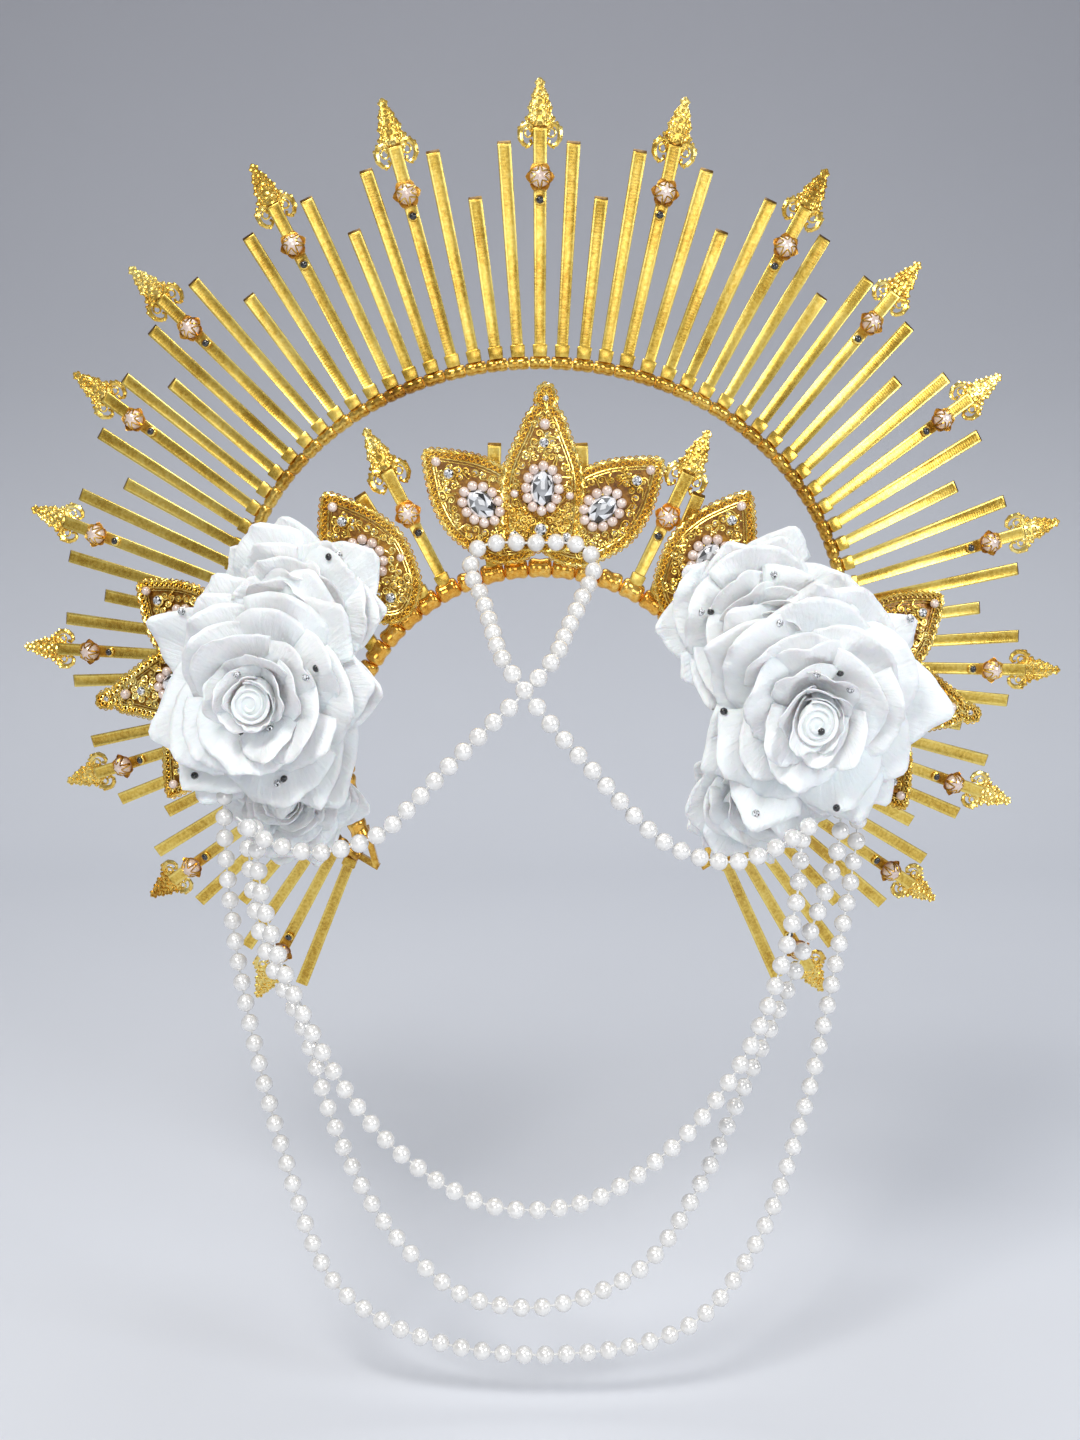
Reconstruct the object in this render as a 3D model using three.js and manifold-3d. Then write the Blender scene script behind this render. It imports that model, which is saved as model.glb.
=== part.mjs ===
import * as THREE from "three";
import { mergeVertices } from "three/addons/utils/BufferGeometryUtils.js";
import Module from "manifold-3d";

// Halo crown in its worn form. Millimetres, +Z up, the front faces -Y.
// The origin is the underside of the headband at the top of the head.
// Left and right are as seen from the front.

const wasm = await Module();
wasm.setup();

const gap = 0.3;
const pearl = 8;
const tone = { gold: 0xc8942c, lace: 0xd9a73a, band: 0xc98a22, pearl: 0xf2eee6, cloth: 0xf6f6f6 };

// Hoop that carries the rays
const hoopHalfWidth = 148;
const hoopHalfHeight = 126;
const hoopCentreZ = -29.5;
const hoopFrontY = 10;
const hoopSetBack = 40;
const hoopReturn = 156;
const hoopEnd = 149;
const hoopLegInset = 2.6;
const wire = 3;

// Cable tie rays
const tieLoop = { radial: 3.1, depth: 3.2, neck: 0.82, belly: 0.8 };
const tieHead = { width: 6.8, to: 8.2, depth: 5 };
const bar = { base: 4.8, tip: 5.8, thick: 1.8 };
const rayLength = { tall: 97, short: 74.5, finial: 122.5 };

// Lace tip and pearl cup of a finial ray, heights along the ray
const laceTip = { length: 31, halfWidth: 9.2, thick: 1.4 };
const cup = { at: 80.5, radius: 5.8, height: 7.4 };

// Where each finial ray stands: degrees along the hoop, outward angle, backward lean
const finialRays = [
  { name: "left_9", along: -140, out: -152, lean: 28 },
  { name: "left_8", along: -126.5, out: -129, lean: 30 },
  { name: "left_7", along: -110.5, out: -110, lean: 25 },
  { name: "left_6", along: -96, out: -89.5, lean: 20.5 },
  { name: "left_5", along: -80.5, out: -71.5, lean: 19 },
  { name: "left_4", along: -63.5, out: -55, lean: 15.5 },
  { name: "left_3", along: -46, out: -46, lean: 8 },
  { name: "left_2", along: -30.5, out: -28, lean: 6 },
  { name: "left_1", along: -15, out: -15, lean: -2 },
  { name: "top", along: 0, out: 0, lean: -1 },
  { name: "right_1", along: 15, out: 12.5, lean: 0 },
  { name: "right_2", along: 30, out: 29, lean: 9 },
  { name: "right_3", along: 46, out: 41, lean: 17 },
  { name: "right_4", along: 63, out: 55.5, lean: 18 },
  { name: "right_5", along: 80, out: 75.5, lean: 16 },
  { name: "right_6", along: 97.5, out: 93.5, lean: 18 },
  { name: "right_7", along: 113, out: 112, lean: 23 },
  { name: "right_8", along: 127.5, out: 127.5, lean: 28 },
  { name: "right_9", along: 141, out: 150, lean: 30 },
];
const raysPerFinial = 4;

// Headband
const bandRadius = 90;
const bandHalf = { radial: 4.6, depth: 4.4, neck: 0.84, belly: 0.7 };
const bandEnd = 114;
const bandLoops = 33;
const bandCore = { radial: 1.2, depth: 1.8 };

// The band's loops in three pieces, by loop number from the top
const bandParts = [
  { name: "left", first: -16, last: -4 },
  { name: "top", first: -3, last: 3 },
  { name: "right", first: 4, last: 16 },
];
const bandRays = [
  { loop: -8, out: -37, length: 66, lace: false },
  { loop: -5, out: -32, length: 58, lace: false },
  { loop: -4, out: -27, length: 81, lace: true },
  { loop: -2, out: 1, length: 59, lace: false },
  { loop: 2, out: -3, length: 59, lace: false },
  { loop: 4, out: 25.5, length: 79, lace: true },
  { loop: 5, out: 23, length: 54, lace: false },
  { loop: 8, out: 35, length: 66, lace: false },
];

// Pierced crown pieces
const crown = {
  thick: 2,
  spireLength: 73.5,
  spireHalf: 18,
  leafLength: 64,
  leafHalf: 19,
  leafOut: 49,
  leafShift: 4,
};
const setting = { height: 5, sides: 12 };

// Stone with its table, then the ring of pearls: shares of the setting's size and height
const settingProfile = [
  { out: 0, up: 1 },
  { out: 0.3, up: 1 },
  { out: 0.58, up: 0.4 },
  { out: 0.8, up: 0.9 },
  { out: 1, up: 0 },
  { out: 0, up: 0 },
];

// Half outlines, cut-outs and stone of a panel, as shares of its half width and length
const spire = {
  half: [
    { across: 0.7, up: 0 },
    { across: 0.94, up: 0.12 },
    { across: 1, up: 0.38 },
    { across: 0.95, up: 0.54 },
    { across: 0.7, up: 0.7 },
    { across: 0.47, up: 0.82 },
    { across: 0.22, up: 0.88 },
    { across: 0.28, up: 0.92 },
    { across: 0.14, up: 1 },
  ],
  holes: [
    { across: -0.5, up: 0.09, wide: 0.26, high: 0.05, turn: 0 },
    { across: 0.5, up: 0.09, wide: 0.26, high: 0.05, turn: 0 },
    { across: 0, up: 0.66, wide: 0.22, high: 0.05, turn: 0 },
  ],
  stone: { up: 0.38, wide: 0.6, high: 0.22 },
};
const leaf = {
  half: [
    { across: 0.22, up: 0 },
    { across: 0.7, up: 0.11 },
    { across: 0.9, up: 0.26 },
    { across: 1, up: 0.48 },
    { across: 0.82, up: 0.68 },
    { across: 0.48, up: 0.85 },
    { across: 0.08, up: 1 },
  ],
  holes: [
    { across: -0.42, up: 0.2, wide: 0.22, high: 0.055, turn: 20 },
    { across: 0.42, up: 0.2, wide: 0.22, high: 0.055, turn: -20 },
    { across: 0, up: 0.8, wide: 0.24, high: 0.045, turn: 0 },
  ],
  stone: { up: 0.53, wide: 0.58, high: 0.2 },
};

// Where each pierced piece sits along the band and above its middle, and the way it points
const crowns = [
  { name: "centre_crown", piece: "crown", along: 0, rise: 7.8, out: 2.2 },
  { name: "leaf_crown_left", piece: "leaf", along: -42.2, rise: 2.3, out: -32 },
  { name: "leaf_crown_right", piece: "leaf", along: 41.3, rise: 1, out: 31 },
];
const sideCrowns = [
  { name: "side_crown_left", along: -99, out: -104, lean: 15, tilt: 16, proud: 7.1 },
  { name: "side_crown_right", along: 101, out: 106, lean: 15, tilt: -16, proud: 6.75 },
];

// Fabric roses: centre of the back, size, the way they face, the roses they give room to,
// and the place on the band, in degrees, that their stem is bound to
const roses = [
  { name: "rose_left_front", at: [-121, -24, -48], radius: 54, depth: 40, pan: -12, tilt: 2, behind: [] },
  {
    name: "rose_left_back", at: [-109, -10, -16], radius: 42, depth: 32, pan: -8, tilt: 8,
    behind: ["rose_left_front"], stem: -62,
  },
  {
    name: "rose_left_low", at: [-112, -12, -98], radius: 32, depth: 26, pan: -6, tilt: -12,
    behind: ["rose_left_front"], stem: -98,
  },
  { name: "rose_right_front", at: [122, -24, -52], radius: 57, depth: 40, pan: 12, tilt: 2, behind: [] },
  {
    name: "rose_right_back", at: [97, -10, -21], radius: 42, depth: 32, pan: 4, tilt: 8,
    behind: ["rose_right_front"], stem: 64,
  },
  {
    name: "rose_right_low", at: [96, -12, -98], radius: 32, depth: 26, pan: 6, tilt: -12,
    behind: ["rose_right_front"], stem: 98,
  },
];
const stem = 5;

// Shares of a rose's radius and depth
const rose = {
  columns: 20,
  profile: [
    { out: 0, up: 0, petals: 6, phase: 0, notch: 0 },
    { out: 0.36, up: 0, petals: 6, phase: 0, notch: 0 },
    { out: 1, up: 0.26, petals: 6, phase: 3.1, notch: 0.18 },
    { out: 1, up: 0.31, petals: 6, phase: 3.1, notch: 0.18 },
    { out: 0.46, up: 0.24, petals: 6, phase: 0, notch: 0 },
    { out: 0.76, up: 0.64, petals: 5, phase: 2, notch: 0.18 },
    { out: 0.76, up: 0.69, petals: 5, phase: 2, notch: 0.18 },
    { out: 0.32, up: 0.56, petals: 5, phase: 2, notch: 0 },
    { out: 0.24, up: 0.98, petals: 3, phase: 1, notch: 0.15 },
    { out: 0, up: 0.86, petals: 3, phase: 1, notch: 0 },
  ],
  room: [
    { out: 0, up: -0.01 },
    { out: 0.37, up: -0.01 },
    { out: 1.02, up: 0.25 },
    { out: 1.02, up: 0.4 },
    { out: 0.8, up: 0.82 },
    { out: 0.5, up: 1.1 },
    { out: 0, up: 1.1 },
  ],
};

// Strings of pearls, from end to end
const festoonPaths = {
  left: [
    [-132, -52, -100], [-118, -58, -109], [-98, -63, -113], [-82, -66, -110], [-66, -70, -102],
    [-52, -73, -88], [-37, -75, -72], [-20, -76, -55], [-6, -73, -42], [6, -64, -29],
    [11, -50, -20], [18, -33, -7], [24, -17, 6], [21, -12, 14], [12, -11.1, 16.5],
  ],
  right: [
    [120, -52, -102], [104, -58, -111], [86, -63, -117], [70, -66, -115], [53, -70, -107],
    [38, -73, -93], [22, -75, -75], [6, -76, -57], [-6, -73, -42], [-16, -64, -29],
    [-20, -50, -20], [-25, -33, -7], [-31, -17, 6], [-28, -12, 14], [-19, -11.1, 16.5],
    [-4, -11.1, 16.5], [12, -11.1, 16.5],
  ],
};
const strands = [
  {
    name: "strand_short", steps: 22,
    path: [
      [-125.6, -42.5, -103], [-122, -50, -136], [-111, -58, -170], [-83, -68, -221],
      [-54, -73, -251], [-19, -77, -268], [22, -77, -265], [57, -73, -243], [78, -68, -221],
      [95, -62, -194], [111, -53, -145], [117, -36.5, -106],
    ],
  },
  {
    name: "strand_middle", steps: 26,
    path: [
      [-131, -36, -104], [-124, -41, -158], [-105, -48, -198], [-91, -55, -241], [-70, -62, -281],
      [-38, -67, -312], [-17, -69, -318], [6, -69, -318], [45, -66, -302], [71, -61, -265],
      [90, -53, -224], [118, -42, -161], [134, -32, -114], [134, -26, -95],
    ],
  },
  {
    name: "strand_long", steps: 30,
    path: [
      [-141.5, -26, -92], [-141.5, -28.5, -118], [-135, -35, -177], [-117, -45, -253], [-95, -58, -309],
      [-73, -66, -325], [-43, -71, -335], [-12, -73, -339], [10, -73, -339], [42, -71, -336],
      [71, -66, -326], [98, -55, -294], [118, -45, -240], [133, -35, -172], [143, -26, -110],
      [142.5, -23.2, -90],
    ],
  },
];

const group = new THREE.Group();
const rad = THREE.MathUtils.degToRad;
const vec = (x, y, z) => new THREE.Vector3(x, y, z);

const asManifold = (geometry) => {
  let bare = geometry.clone();
  bare.deleteAttribute("normal");
  bare.deleteAttribute("uv");
  if (!bare.index) bare.setIndex([...Array(bare.attributes.position.count).keys()]);
  bare = mergeVertices(bare, 1e-4);
  const vertProperties = new Float32Array(bare.attributes.position.array);
  const triVerts = new Uint32Array(bare.index.array);
  return new wasm.Manifold(new wasm.Mesh({ numProp: 3, vertProperties, triVerts }));
};

const asGeometry = (solid) => {
  const mesh = solid.getMesh();
  const geometry = new THREE.BufferGeometry();
  geometry.setAttribute("position", new THREE.BufferAttribute(new Float32Array(mesh.vertProperties), 3));
  geometry.setIndex([...mesh.triVerts]);
  const flat = geometry.toNonIndexed();
  flat.computeVertexNormals();
  return flat;
};

const fuse = (geometries, cutters = []) => {
  let solid = asManifold(geometries[0]);
  for (const next of geometries.slice(1)) solid = solid.add(asManifold(next));
  for (const cutter of cutters) solid = solid.subtract(asManifold(cutter));
  return asGeometry(solid);
};

const addNode = (name, geometry, color, metalness = 0.9, roughness = 0.3) => {
  const material = new THREE.MeshStandardMaterial({ color, metalness, roughness });
  const mesh = new THREE.Mesh(geometry, material);
  mesh.name = name;
  group.add(mesh);
};

// Turns a closed surface the right way out
const outward = (positions, faces) => {
  let volume = 0;
  for (const [a, b, c] of faces) volume += positions[a].dot(positions[b].clone().cross(positions[c]));
  const index = faces.flatMap(([a, b, c]) => (volume < 0 ? [a, c, b] : [a, b, c]));
  const geometry = new THREE.BufferGeometry();
  geometry.setFromPoints(positions);
  geometry.setIndex(index);
  return geometry;
};

// Solid through a row of rings with the same number of points each
const skin = (rings) => {
  const n = rings[0].length;
  const positions = rings.flat();
  const faces = [];
  for (let i = 0; i + 1 < rings.length; i++) {
    for (let j = 0; j < n; j++) {
      const a = i * n + j;
      const b = i * n + ((j + 1) % n);
      faces.push([a, b, b + n], [a, b + n, a + n]);
    }
  }
  const last = (rings.length - 1) * n;
  for (let j = 1; j + 1 < n; j++) {
    faces.push([0, j + 1, j], [last, last + j, last + j + 1]);
  }
  return outward(positions, faces);
};

const bandPitch = (2 * bandEnd) / bandLoops;
const bandAt = (degrees) => {
  const centreZ = bandHalf.radial - bandRadius;
  return vec(bandRadius * Math.sin(rad(degrees)), 0, centreZ + bandRadius * Math.cos(rad(degrees)));
};

const hoopAt = (degrees) => vec(
  hoopHalfWidth * Math.sin(rad(degrees)),
  hoopFrontY + hoopSetBack * Math.sin(rad((degrees * 180) / hoopReturn)) ** 2,
  hoopCentreZ + hoopHalfHeight * Math.cos(rad(degrees)),
);

// Oblong square to a curve, radial and depth being its half sizes
const collar = (curve, at, radial, depth) => {
  const centre = curve(at);
  const along = curve(at + 0.1).sub(curve(at - 0.1)).normalize();
  const out = vec(Math.sin(rad(at)), 0, Math.cos(rad(at)));
  out.addScaledVector(along, -out.dot(along)).normalize();
  const side = along.clone().cross(out);
  return [[-1, -1], [1, -1], [1, 1], [-1, 1]].map(([r, d]) => {
    const point = centre.clone().addScaledVector(out, r * radial);
    return point.addScaledVector(side, d * depth);
  });
};

const rayDirection = (out, lean) => vec(
  Math.sin(rad(out)) * Math.cos(rad(lean)),
  Math.sin(rad(lean)),
  Math.cos(rad(out)) * Math.cos(rad(lean)),
);

// Frame of a ray: across, back and outward
const rayFrame = (origin, out, lean) => {
  const away = rayDirection(out, lean);
  const across = vec(Math.cos(rad(out)), 0, -Math.sin(rad(out)));
  const back = away.clone().cross(across);
  return new THREE.Matrix4().makeBasis(across, back, away).setPosition(origin);
};

// Row of cable ties looped round a core and open along its bore.
// A tie with a length also carries its head and its flat bar.
const tieRow = (curve, ties, ends, half, bore) => {
  const positions = [];
  const faces = [];
  const put = (points) => points.map((point) => positions.push(point) - 1);
  const quad = (a, b, c, d) => faces.push([a, b, c], [a, c, d]);
  const band = (from, to, skip = -1) => from.forEach((a, k) => {
    const next = (k + 1) % from.length;
    if (k !== skip) quad(a, from[next], to[next], to[k]);
  });
  const edges = [ends[0]];
  for (let i = 0; i + 1 < ties.length; i++) edges.push((ties[i].along + ties[i + 1].along) / 2);
  edges.push(ends[1]);
  const neck = (at) => put(collar(curve, at, half.radial * half.neck, half.depth * half.neck));
  const first = neck(edges[0]);
  let last = first;
  ties.forEach((tie, i) => {
    const reach = half.belly * Math.min(tie.along - edges[i], edges[i + 1] - tie.along);
    const start = put(collar(curve, tie.along - reach, half.radial, half.depth));
    const end = put(collar(curve, tie.along + reach, half.radial, half.depth));
    band(last, start);
    band(start, end, tie.length ? 1 : -1);
    last = neck(edges[i + 1]);
    band(end, last);
    if (!tie.length) return;
    const frame = rayFrame(curve(tie.along), tie.out, tie.lean);
    const ring = (width, thick, z) => put([[-1, 1], [-1, -1], [1, -1], [1, 1]].map(
      ([x, y]) => vec((x * width) / 2, (y * thick) / 2, z).applyMatrix4(frame),
    ));
    const foot = [start[1], start[2], end[2], end[1]];
    const top = ring(tieHead.width, tieHead.depth, tieHead.to);
    const base = ring(bar.base, bar.thick, tieHead.to);
    const tip = ring(bar.tip, bar.thick, tie.length);
    band(foot, top);
    band(top, base);
    band(base, tip);
    quad(...tip);
  });
  const inner = edges.map((at) => put(collar(curve, at, bore.radial, bore.depth)));
  for (let i = 0; i + 1 < inner.length; i++) band(inner[i + 1], inner[i]);
  band(inner[0], first);
  band(last, inner[inner.length - 1]);
  return outward(positions, faces);
};

// Flat plate in the X-Z plane, its back at y + thick
const plate = (points, holes, thick, y) => {
  const shape = new THREE.Shape(points.map(([x, z]) => new THREE.Vector2(x, z)));
  shape.holes = holes.map((hole) => new THREE.Path(hole.map(([x, z]) => new THREE.Vector2(x, z))));
  const solid = new THREE.ExtrudeGeometry(shape, { depth: thick, bevelEnabled: false });
  return solid.rotateX(Math.PI / 2).translate(0, y + thick, 0);
};

const mirrored = (half) => [...half, ...half.slice().reverse().map(([x, z]) => [-x, z])];

const oval = (x, z, rx, rz, sides, turn = 0) => {
  const points = [];
  for (let k = 0; k < sides; k++) {
    const a = (2 * Math.PI * k) / sides;
    const px = rx * Math.sin(a);
    const pz = rz * Math.cos(a);
    const t = rad(turn);
    points.push([x + px * Math.cos(t) + pz * Math.sin(t), z - px * Math.sin(t) + pz * Math.cos(t)]);
  }
  return points;
};

// Half outline of the lace tip, as shares of its half width and length
const laceHalf = [
  { across: 0.7, up: 0 },
  { across: 1, up: 0.2 },
  { across: 0.76, up: 0.42 },
  { across: 0.5, up: 0.48 },
  { across: 0.6, up: 0.62 },
  { across: 0.24, up: 0.84 },
  { across: 0.12, up: 1 },
];
const laceScroll = { across: 0.66, up: 0.22, wide: 0.17, high: 0.14 };

const laceTipSolid = (top) => {
  const { length, halfWidth, thick } = laceTip;
  const base = top - length;
  const half = laceHalf.map(({ across, up }) => [across * halfWidth, base + up * length]);
  const { across, up, wide, high } = laceScroll;
  const centreZ = base + up * length;
  const scroll = (side) => oval(side * across * halfWidth, centreZ, wide * halfWidth, high * length, 4);
  return plate(mirrored(half), [scroll(1), scroll(-1)], thick, bar.thick / 2 - 0.3);
};

const cupSolid = (height) => {
  const profile = [
    [0, 0.2 * bar.thick],
    [0.38 * cup.radius, 0.2 * bar.thick],
    [cup.radius, 0.42 * cup.height],
    [0, cup.height],
  ].map(([r, h]) => new THREE.Vector2(r, h));
  return new THREE.LatheGeometry(profile, 10).rotateX(Math.PI).translate(0, 0, height);
};

const lengthOf = (index) => {
  const step = Math.abs(index) % raysPerFinial;
  if (step === 0) return rayLength.finial - 0.8 * laceTip.length;
  return step === 2 ? rayLength.short : rayLength.tall;
};

// Place along the hoop of any ray, between the finial rays beside it
const middle = (finialRays.length - 1) / 2;
const rayAt = (index) => {
  const share = index / raysPerFinial + middle;
  const low = THREE.MathUtils.clamp(Math.floor(share), 0, finialRays.length - 2);
  const t = share - low;
  const mix = (key) => finialRays[low][key] * (1 - t) + finialRays[low + 1][key] * t;
  return { index, along: mix("along"), out: mix("out"), lean: mix("lean"), length: lengthOf(index) };
};

const hoopGap = gap / 2 / rad(hoopHalfHeight);
const tieGroup = (indices) => {
  const rays = indices.map(rayAt);
  const before = rayAt(indices[0] - 1).along;
  const after = rayAt(indices[indices.length - 1] + 1).along;
  const ends = [
    (before + rays[0].along) / 2 + hoopGap,
    (rays[rays.length - 1].along + after) / 2 - hoopGap,
  ];
  const bore = { radial: wire / 2 + gap * 1.5, depth: wire / 2 + gap * 1.5 };
  const solids = [tieRow(hoopAt, rays, ends, tieLoop, bore)];
  for (const ray of rays.filter(({ index }) => index % raysPerFinial === 0)) {
    const frame = rayFrame(hoopAt(ray.along), ray.out, ray.lean);
    solids.push(laceTipSolid(rayLength.finial).applyMatrix4(frame), cupSolid(cup.at).applyMatrix4(frame));
  }
  return fuse(solids);
};

// Hoop and its rays
const hoopRings = [];
const hoopSteps = 50;
for (let i = 0; i <= hoopSteps; i++) {
  hoopRings.push(collar(hoopAt, hoopEnd * ((2 * i) / hoopSteps - 1), wire / 2, wire / 2));
}

// Short leg from one end of the hoop up to the back of the band's last loop
const hoopLeg = (side) => {
  const foot = hoopAt(side * (hoopEnd - 0.5));
  const seat = bandAt((side * bandPitch * (bandLoops - 1)) / 2);
  seat.x -= side * hoopLegInset;
  seat.y = bandHalf.depth + 2 * gap + wire / 2;
  const up = seat.clone().sub(foot).normalize();
  const back = vec(0, 1, 0).addScaledVector(up, -up.y).normalize();
  const across = up.clone().cross(back);
  const ring = (at) => [[-1, -1], [1, -1], [1, 1], [-1, 1]].map(([a, b]) => {
    const point = at.clone().addScaledVector(across, (a * wire) / 2);
    return point.addScaledVector(back, (b * wire) / 2);
  });
  return skin([ring(foot), ring(seat)]);
};
addNode("halo_hoop", fuse([skin(hoopRings), hoopLeg(-1), hoopLeg(1)]), tone.gold);

finialRays.forEach((ray, k) => {
  const index = (k - middle) * raysPerFinial;
  const indices = [index];
  if (k === 0) indices.unshift(index - 1);
  if (k === finialRays.length - 1) indices.push(index + 1);
  addNode(`finial_ray_${ray.name}`, tieGroup(indices), tone.gold);
});
for (let k = 0; k + 1 < finialRays.length; k++) {
  const index = (k - middle) * raysPerFinial;
  const side = k < middle ? "left" : "right";
  const number = k < middle ? middle - k : k - middle + 1;
  addNode(`plain_rays_${side}_${number}`, tieGroup([index + 1, index + 2, index + 3]), tone.gold);
}

// Headband
const bandCoreRings = [];
for (let i = 0; i <= bandLoops; i++) {
  const at = bandEnd * ((2 * i) / bandLoops - 1);
  bandCoreRings.push(collar(bandAt, at, bandCore.radial, bandCore.depth));
}
addNode("headband_core", skin(bandCoreRings), tone.band);

const bandGap = gap / 2 / rad(bandRadius);
for (const { name, first, last } of bandParts) {
  const ties = [];
  for (let i = first; i <= last; i++) {
    const ray = bandRays.find(({ loop }) => loop === i) ?? {};
    const bare = ray.lace ? ray.length - 0.8 * laceTip.length : ray.length;
    const place = { along: i * bandPitch, out: ray.out, lean: 0 };
    ties.push({ ...place, length: bare, lace: ray.lace, full: ray.length });
  }
  const ends = [(first - 0.5) * bandPitch + bandGap, (last + 0.5) * bandPitch - bandGap];
  const bore = { radial: bandCore.radial + gap * 1.5, depth: bandCore.depth + gap * 1.5 };
  const solids = [tieRow(bandAt, ties, ends, bandHalf, bore)];
  for (const tie of ties.filter(({ lace }) => lace)) {
    const frame = rayFrame(bandAt(tie.along), tie.out, tie.lean);
    const cupAt = tie.full - (rayLength.finial - cup.at);
    solids.push(laceTipSolid(tie.full).applyMatrix4(frame), cupSolid(cupAt).applyMatrix4(frame));
  }
  addNode(`headband_loops_${name}`, fuse(solids), tone.band);
}

// Stone ringed by pearls, its axis to the front
const settingSolid = (x, z, rx, rz, y) => {
  const profile = settingProfile.map(({ out, up }) => new THREE.Vector2(out, -up * setting.height));
  const solid = new THREE.LatheGeometry(profile, setting.sides);
  return solid.scale(rx, 1, rz).translate(x, y, z);
};

const lacePanel = ({ half, holes, stone }, length, halfWidth) => {
  const outline = half.map(({ across, up }) => [across * halfWidth, up * length]);
  const cuts = holes.map((hole) => oval(
    hole.across * halfWidth, hole.up * length, hole.wide * halfWidth, hole.high * length, 4, hole.turn,
  ));
  return [
    plate(mirrored(outline), cuts, crown.thick, 0),
    settingSolid(0, stone.up * length, stone.wide * halfWidth, stone.high * length, 0.3 * crown.thick),
  ];
};

// Three pointed panels side by side, base at the origin, front to -Y
const crownSolid = () => {
  const solids = [...lacePanel(spire, crown.spireLength, crown.spireHalf)];
  for (const side of [-1, 1]) {
    for (const part of lacePanel(leaf, crown.leafLength, crown.leafHalf)) {
      part.rotateY(rad(side * crown.leafOut));
      part.translate(side * crown.leafShift, 0, 0);
      solids.push(part);
    }
  }
  return fuse(solids);
};

const leafSolid = () => fuse(lacePanel(leaf, crown.leafLength, crown.leafHalf));

for (const { name, piece, along, rise, out } of crowns) {
  const solid = piece === "leaf" ? leafSolid() : crownSolid();
  const at = bandAt(along);
  at.x += rise * Math.sin(rad(along));
  at.z += rise * Math.cos(rad(along));
  at.y -= bandHalf.depth + gap + crown.thick;
  addNode(name, solid.applyMatrix4(rayFrame(at, out, 0)), tone.lace);
}

// The side crowns lie on the front of the rays
for (const { name, along, out, lean, tilt, proud } of sideCrowns) {
  const frame = rayFrame(hoopAt(along), out, lean);
  frame.multiply(new THREE.Matrix4().makeRotationZ(rad(tilt)));
  addNode(name, crownSolid().translate(0, -proud, 0).applyMatrix4(frame), tone.lace);
}

// Rose in its own frame, its axis to +Z: petal rings and bud as one lobed skin
const roseSolid = (radius, depth) => {
  const last = rose.profile.length - 1;
  const positions = [vec(0, 0, rose.profile[0].up * depth), vec(0, 0, rose.profile[last].up * depth)];
  const rings = rose.profile.slice(1, last).map(({ out, up, petals, phase, notch }) => {
    const ring = [];
    for (let k = 0; k < rose.columns; k++) {
      const turn = (2 * Math.PI * k) / rose.columns;
      const lobe = 1 - notch * (0.5 + 0.5 * Math.cos(petals * turn + phase));
      const at = vec(out * lobe * radius * Math.cos(turn), out * lobe * radius * Math.sin(turn), up * depth);
      ring.push(positions.push(at) - 1);
    }
    return ring;
  });
  const faces = [];
  const [back, front] = [rings[0], rings[rings.length - 1]];
  back.forEach((a, k) => faces.push([0, back[(k + 1) % rose.columns], a]));
  front.forEach((a, k) => faces.push([1, a, front[(k + 1) % rose.columns]]));
  for (let i = 0; i + 1 < rings.length; i++) {
    rings[i].forEach((a, k) => {
      const next = (k + 1) % rose.columns;
      faces.push([a, rings[i][next], rings[i + 1][next]], [a, rings[i + 1][next], rings[i + 1][k]]);
    });
  }
  return outward(positions, faces);
};

// Body of revolution that a flower fills, to keep its neighbours clear of it
const flowerRoom = (radius, depth) => {
  const profile = rose.room.map(({ out, up }) => new THREE.Vector2(out * radius, up * depth));
  return new THREE.LatheGeometry(profile, 16).rotateX(Math.PI / 2);
};

const flowerFrame = ({ at, pan, tilt }) => {
  const face = vec(Math.sin(rad(pan)), -Math.cos(rad(pan)) * Math.cos(rad(tilt)), Math.sin(rad(tilt)));
  face.normalize();
  const across = vec(0, 0, 1).cross(face).negate().normalize();
  const up = face.clone().cross(across);
  return new THREE.Matrix4().makeBasis(across, up, face).setPosition(vec(...at));
};

// Stem from inside a flower's back to the outer side of the band
const stemSolid = (flower) => {
  const from = vec(...flower.at);
  const outer = vec(Math.sin(rad(flower.stem)), 0, Math.cos(rad(flower.stem)));
  const to = bandAt(flower.stem).addScaledVector(outer, bandHalf.radial + 1.5 * gap);
  const ring = (at) => [[-1, -1], [1, -1], [1, 1], [-1, 1]].map(([y, t]) => {
    const side = vec(outer.z, 0, -outer.x).multiplyScalar((t * stem) / 2);
    return at.clone().add(side).add(vec(0, (y * stem) / 2, 0));
  });
  from.y -= stem;
  return skin([ring(from), ring(to)]);
};

for (const flower of roses) {
  const solids = [roseSolid(flower.radius, flower.depth).applyMatrix4(flowerFrame(flower))];
  if (flower.stem) solids.push(stemSolid(flower));
  const rooms = roses.filter(({ name }) => flower.behind.includes(name));
  const cutters = rooms.map((other) => {
    return flowerRoom(other.radius, other.depth).applyMatrix4(flowerFrame(other));
  });
  addNode(flower.name, fuse(solids, cutters), tone.cloth, 0, 0.9);
}

// Pearl strings as even tubes
const tube = (points, steps, radius = pearl / 2) => {
  const path = new THREE.CatmullRomCurve3(points.map(([x, y, z]) => vec(x, y, z)));
  const shape = new THREE.Shape(oval(0, 0, radius, radius, 8).map(([x, y]) => new THREE.Vector2(x, y)));
  return new THREE.ExtrudeGeometry(shape, { steps, bevelEnabled: false, extrudePath: path });
};

const festoon = fuse([tube(festoonPaths.right, 18), tube(festoonPaths.left, 17)]);
addNode("forehead_festoon", festoon, tone.pearl, 0.1, 0.25);
for (const { name, path, steps } of strands) addNode(name, tube(path, steps), tone.pearl, 0.1, 0.25);

export default group;
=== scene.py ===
import math
import random

import bmesh
import bpy
from mathutils import Matrix, Vector, noise
from mathutils.bvhtree import BVHTree


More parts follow.
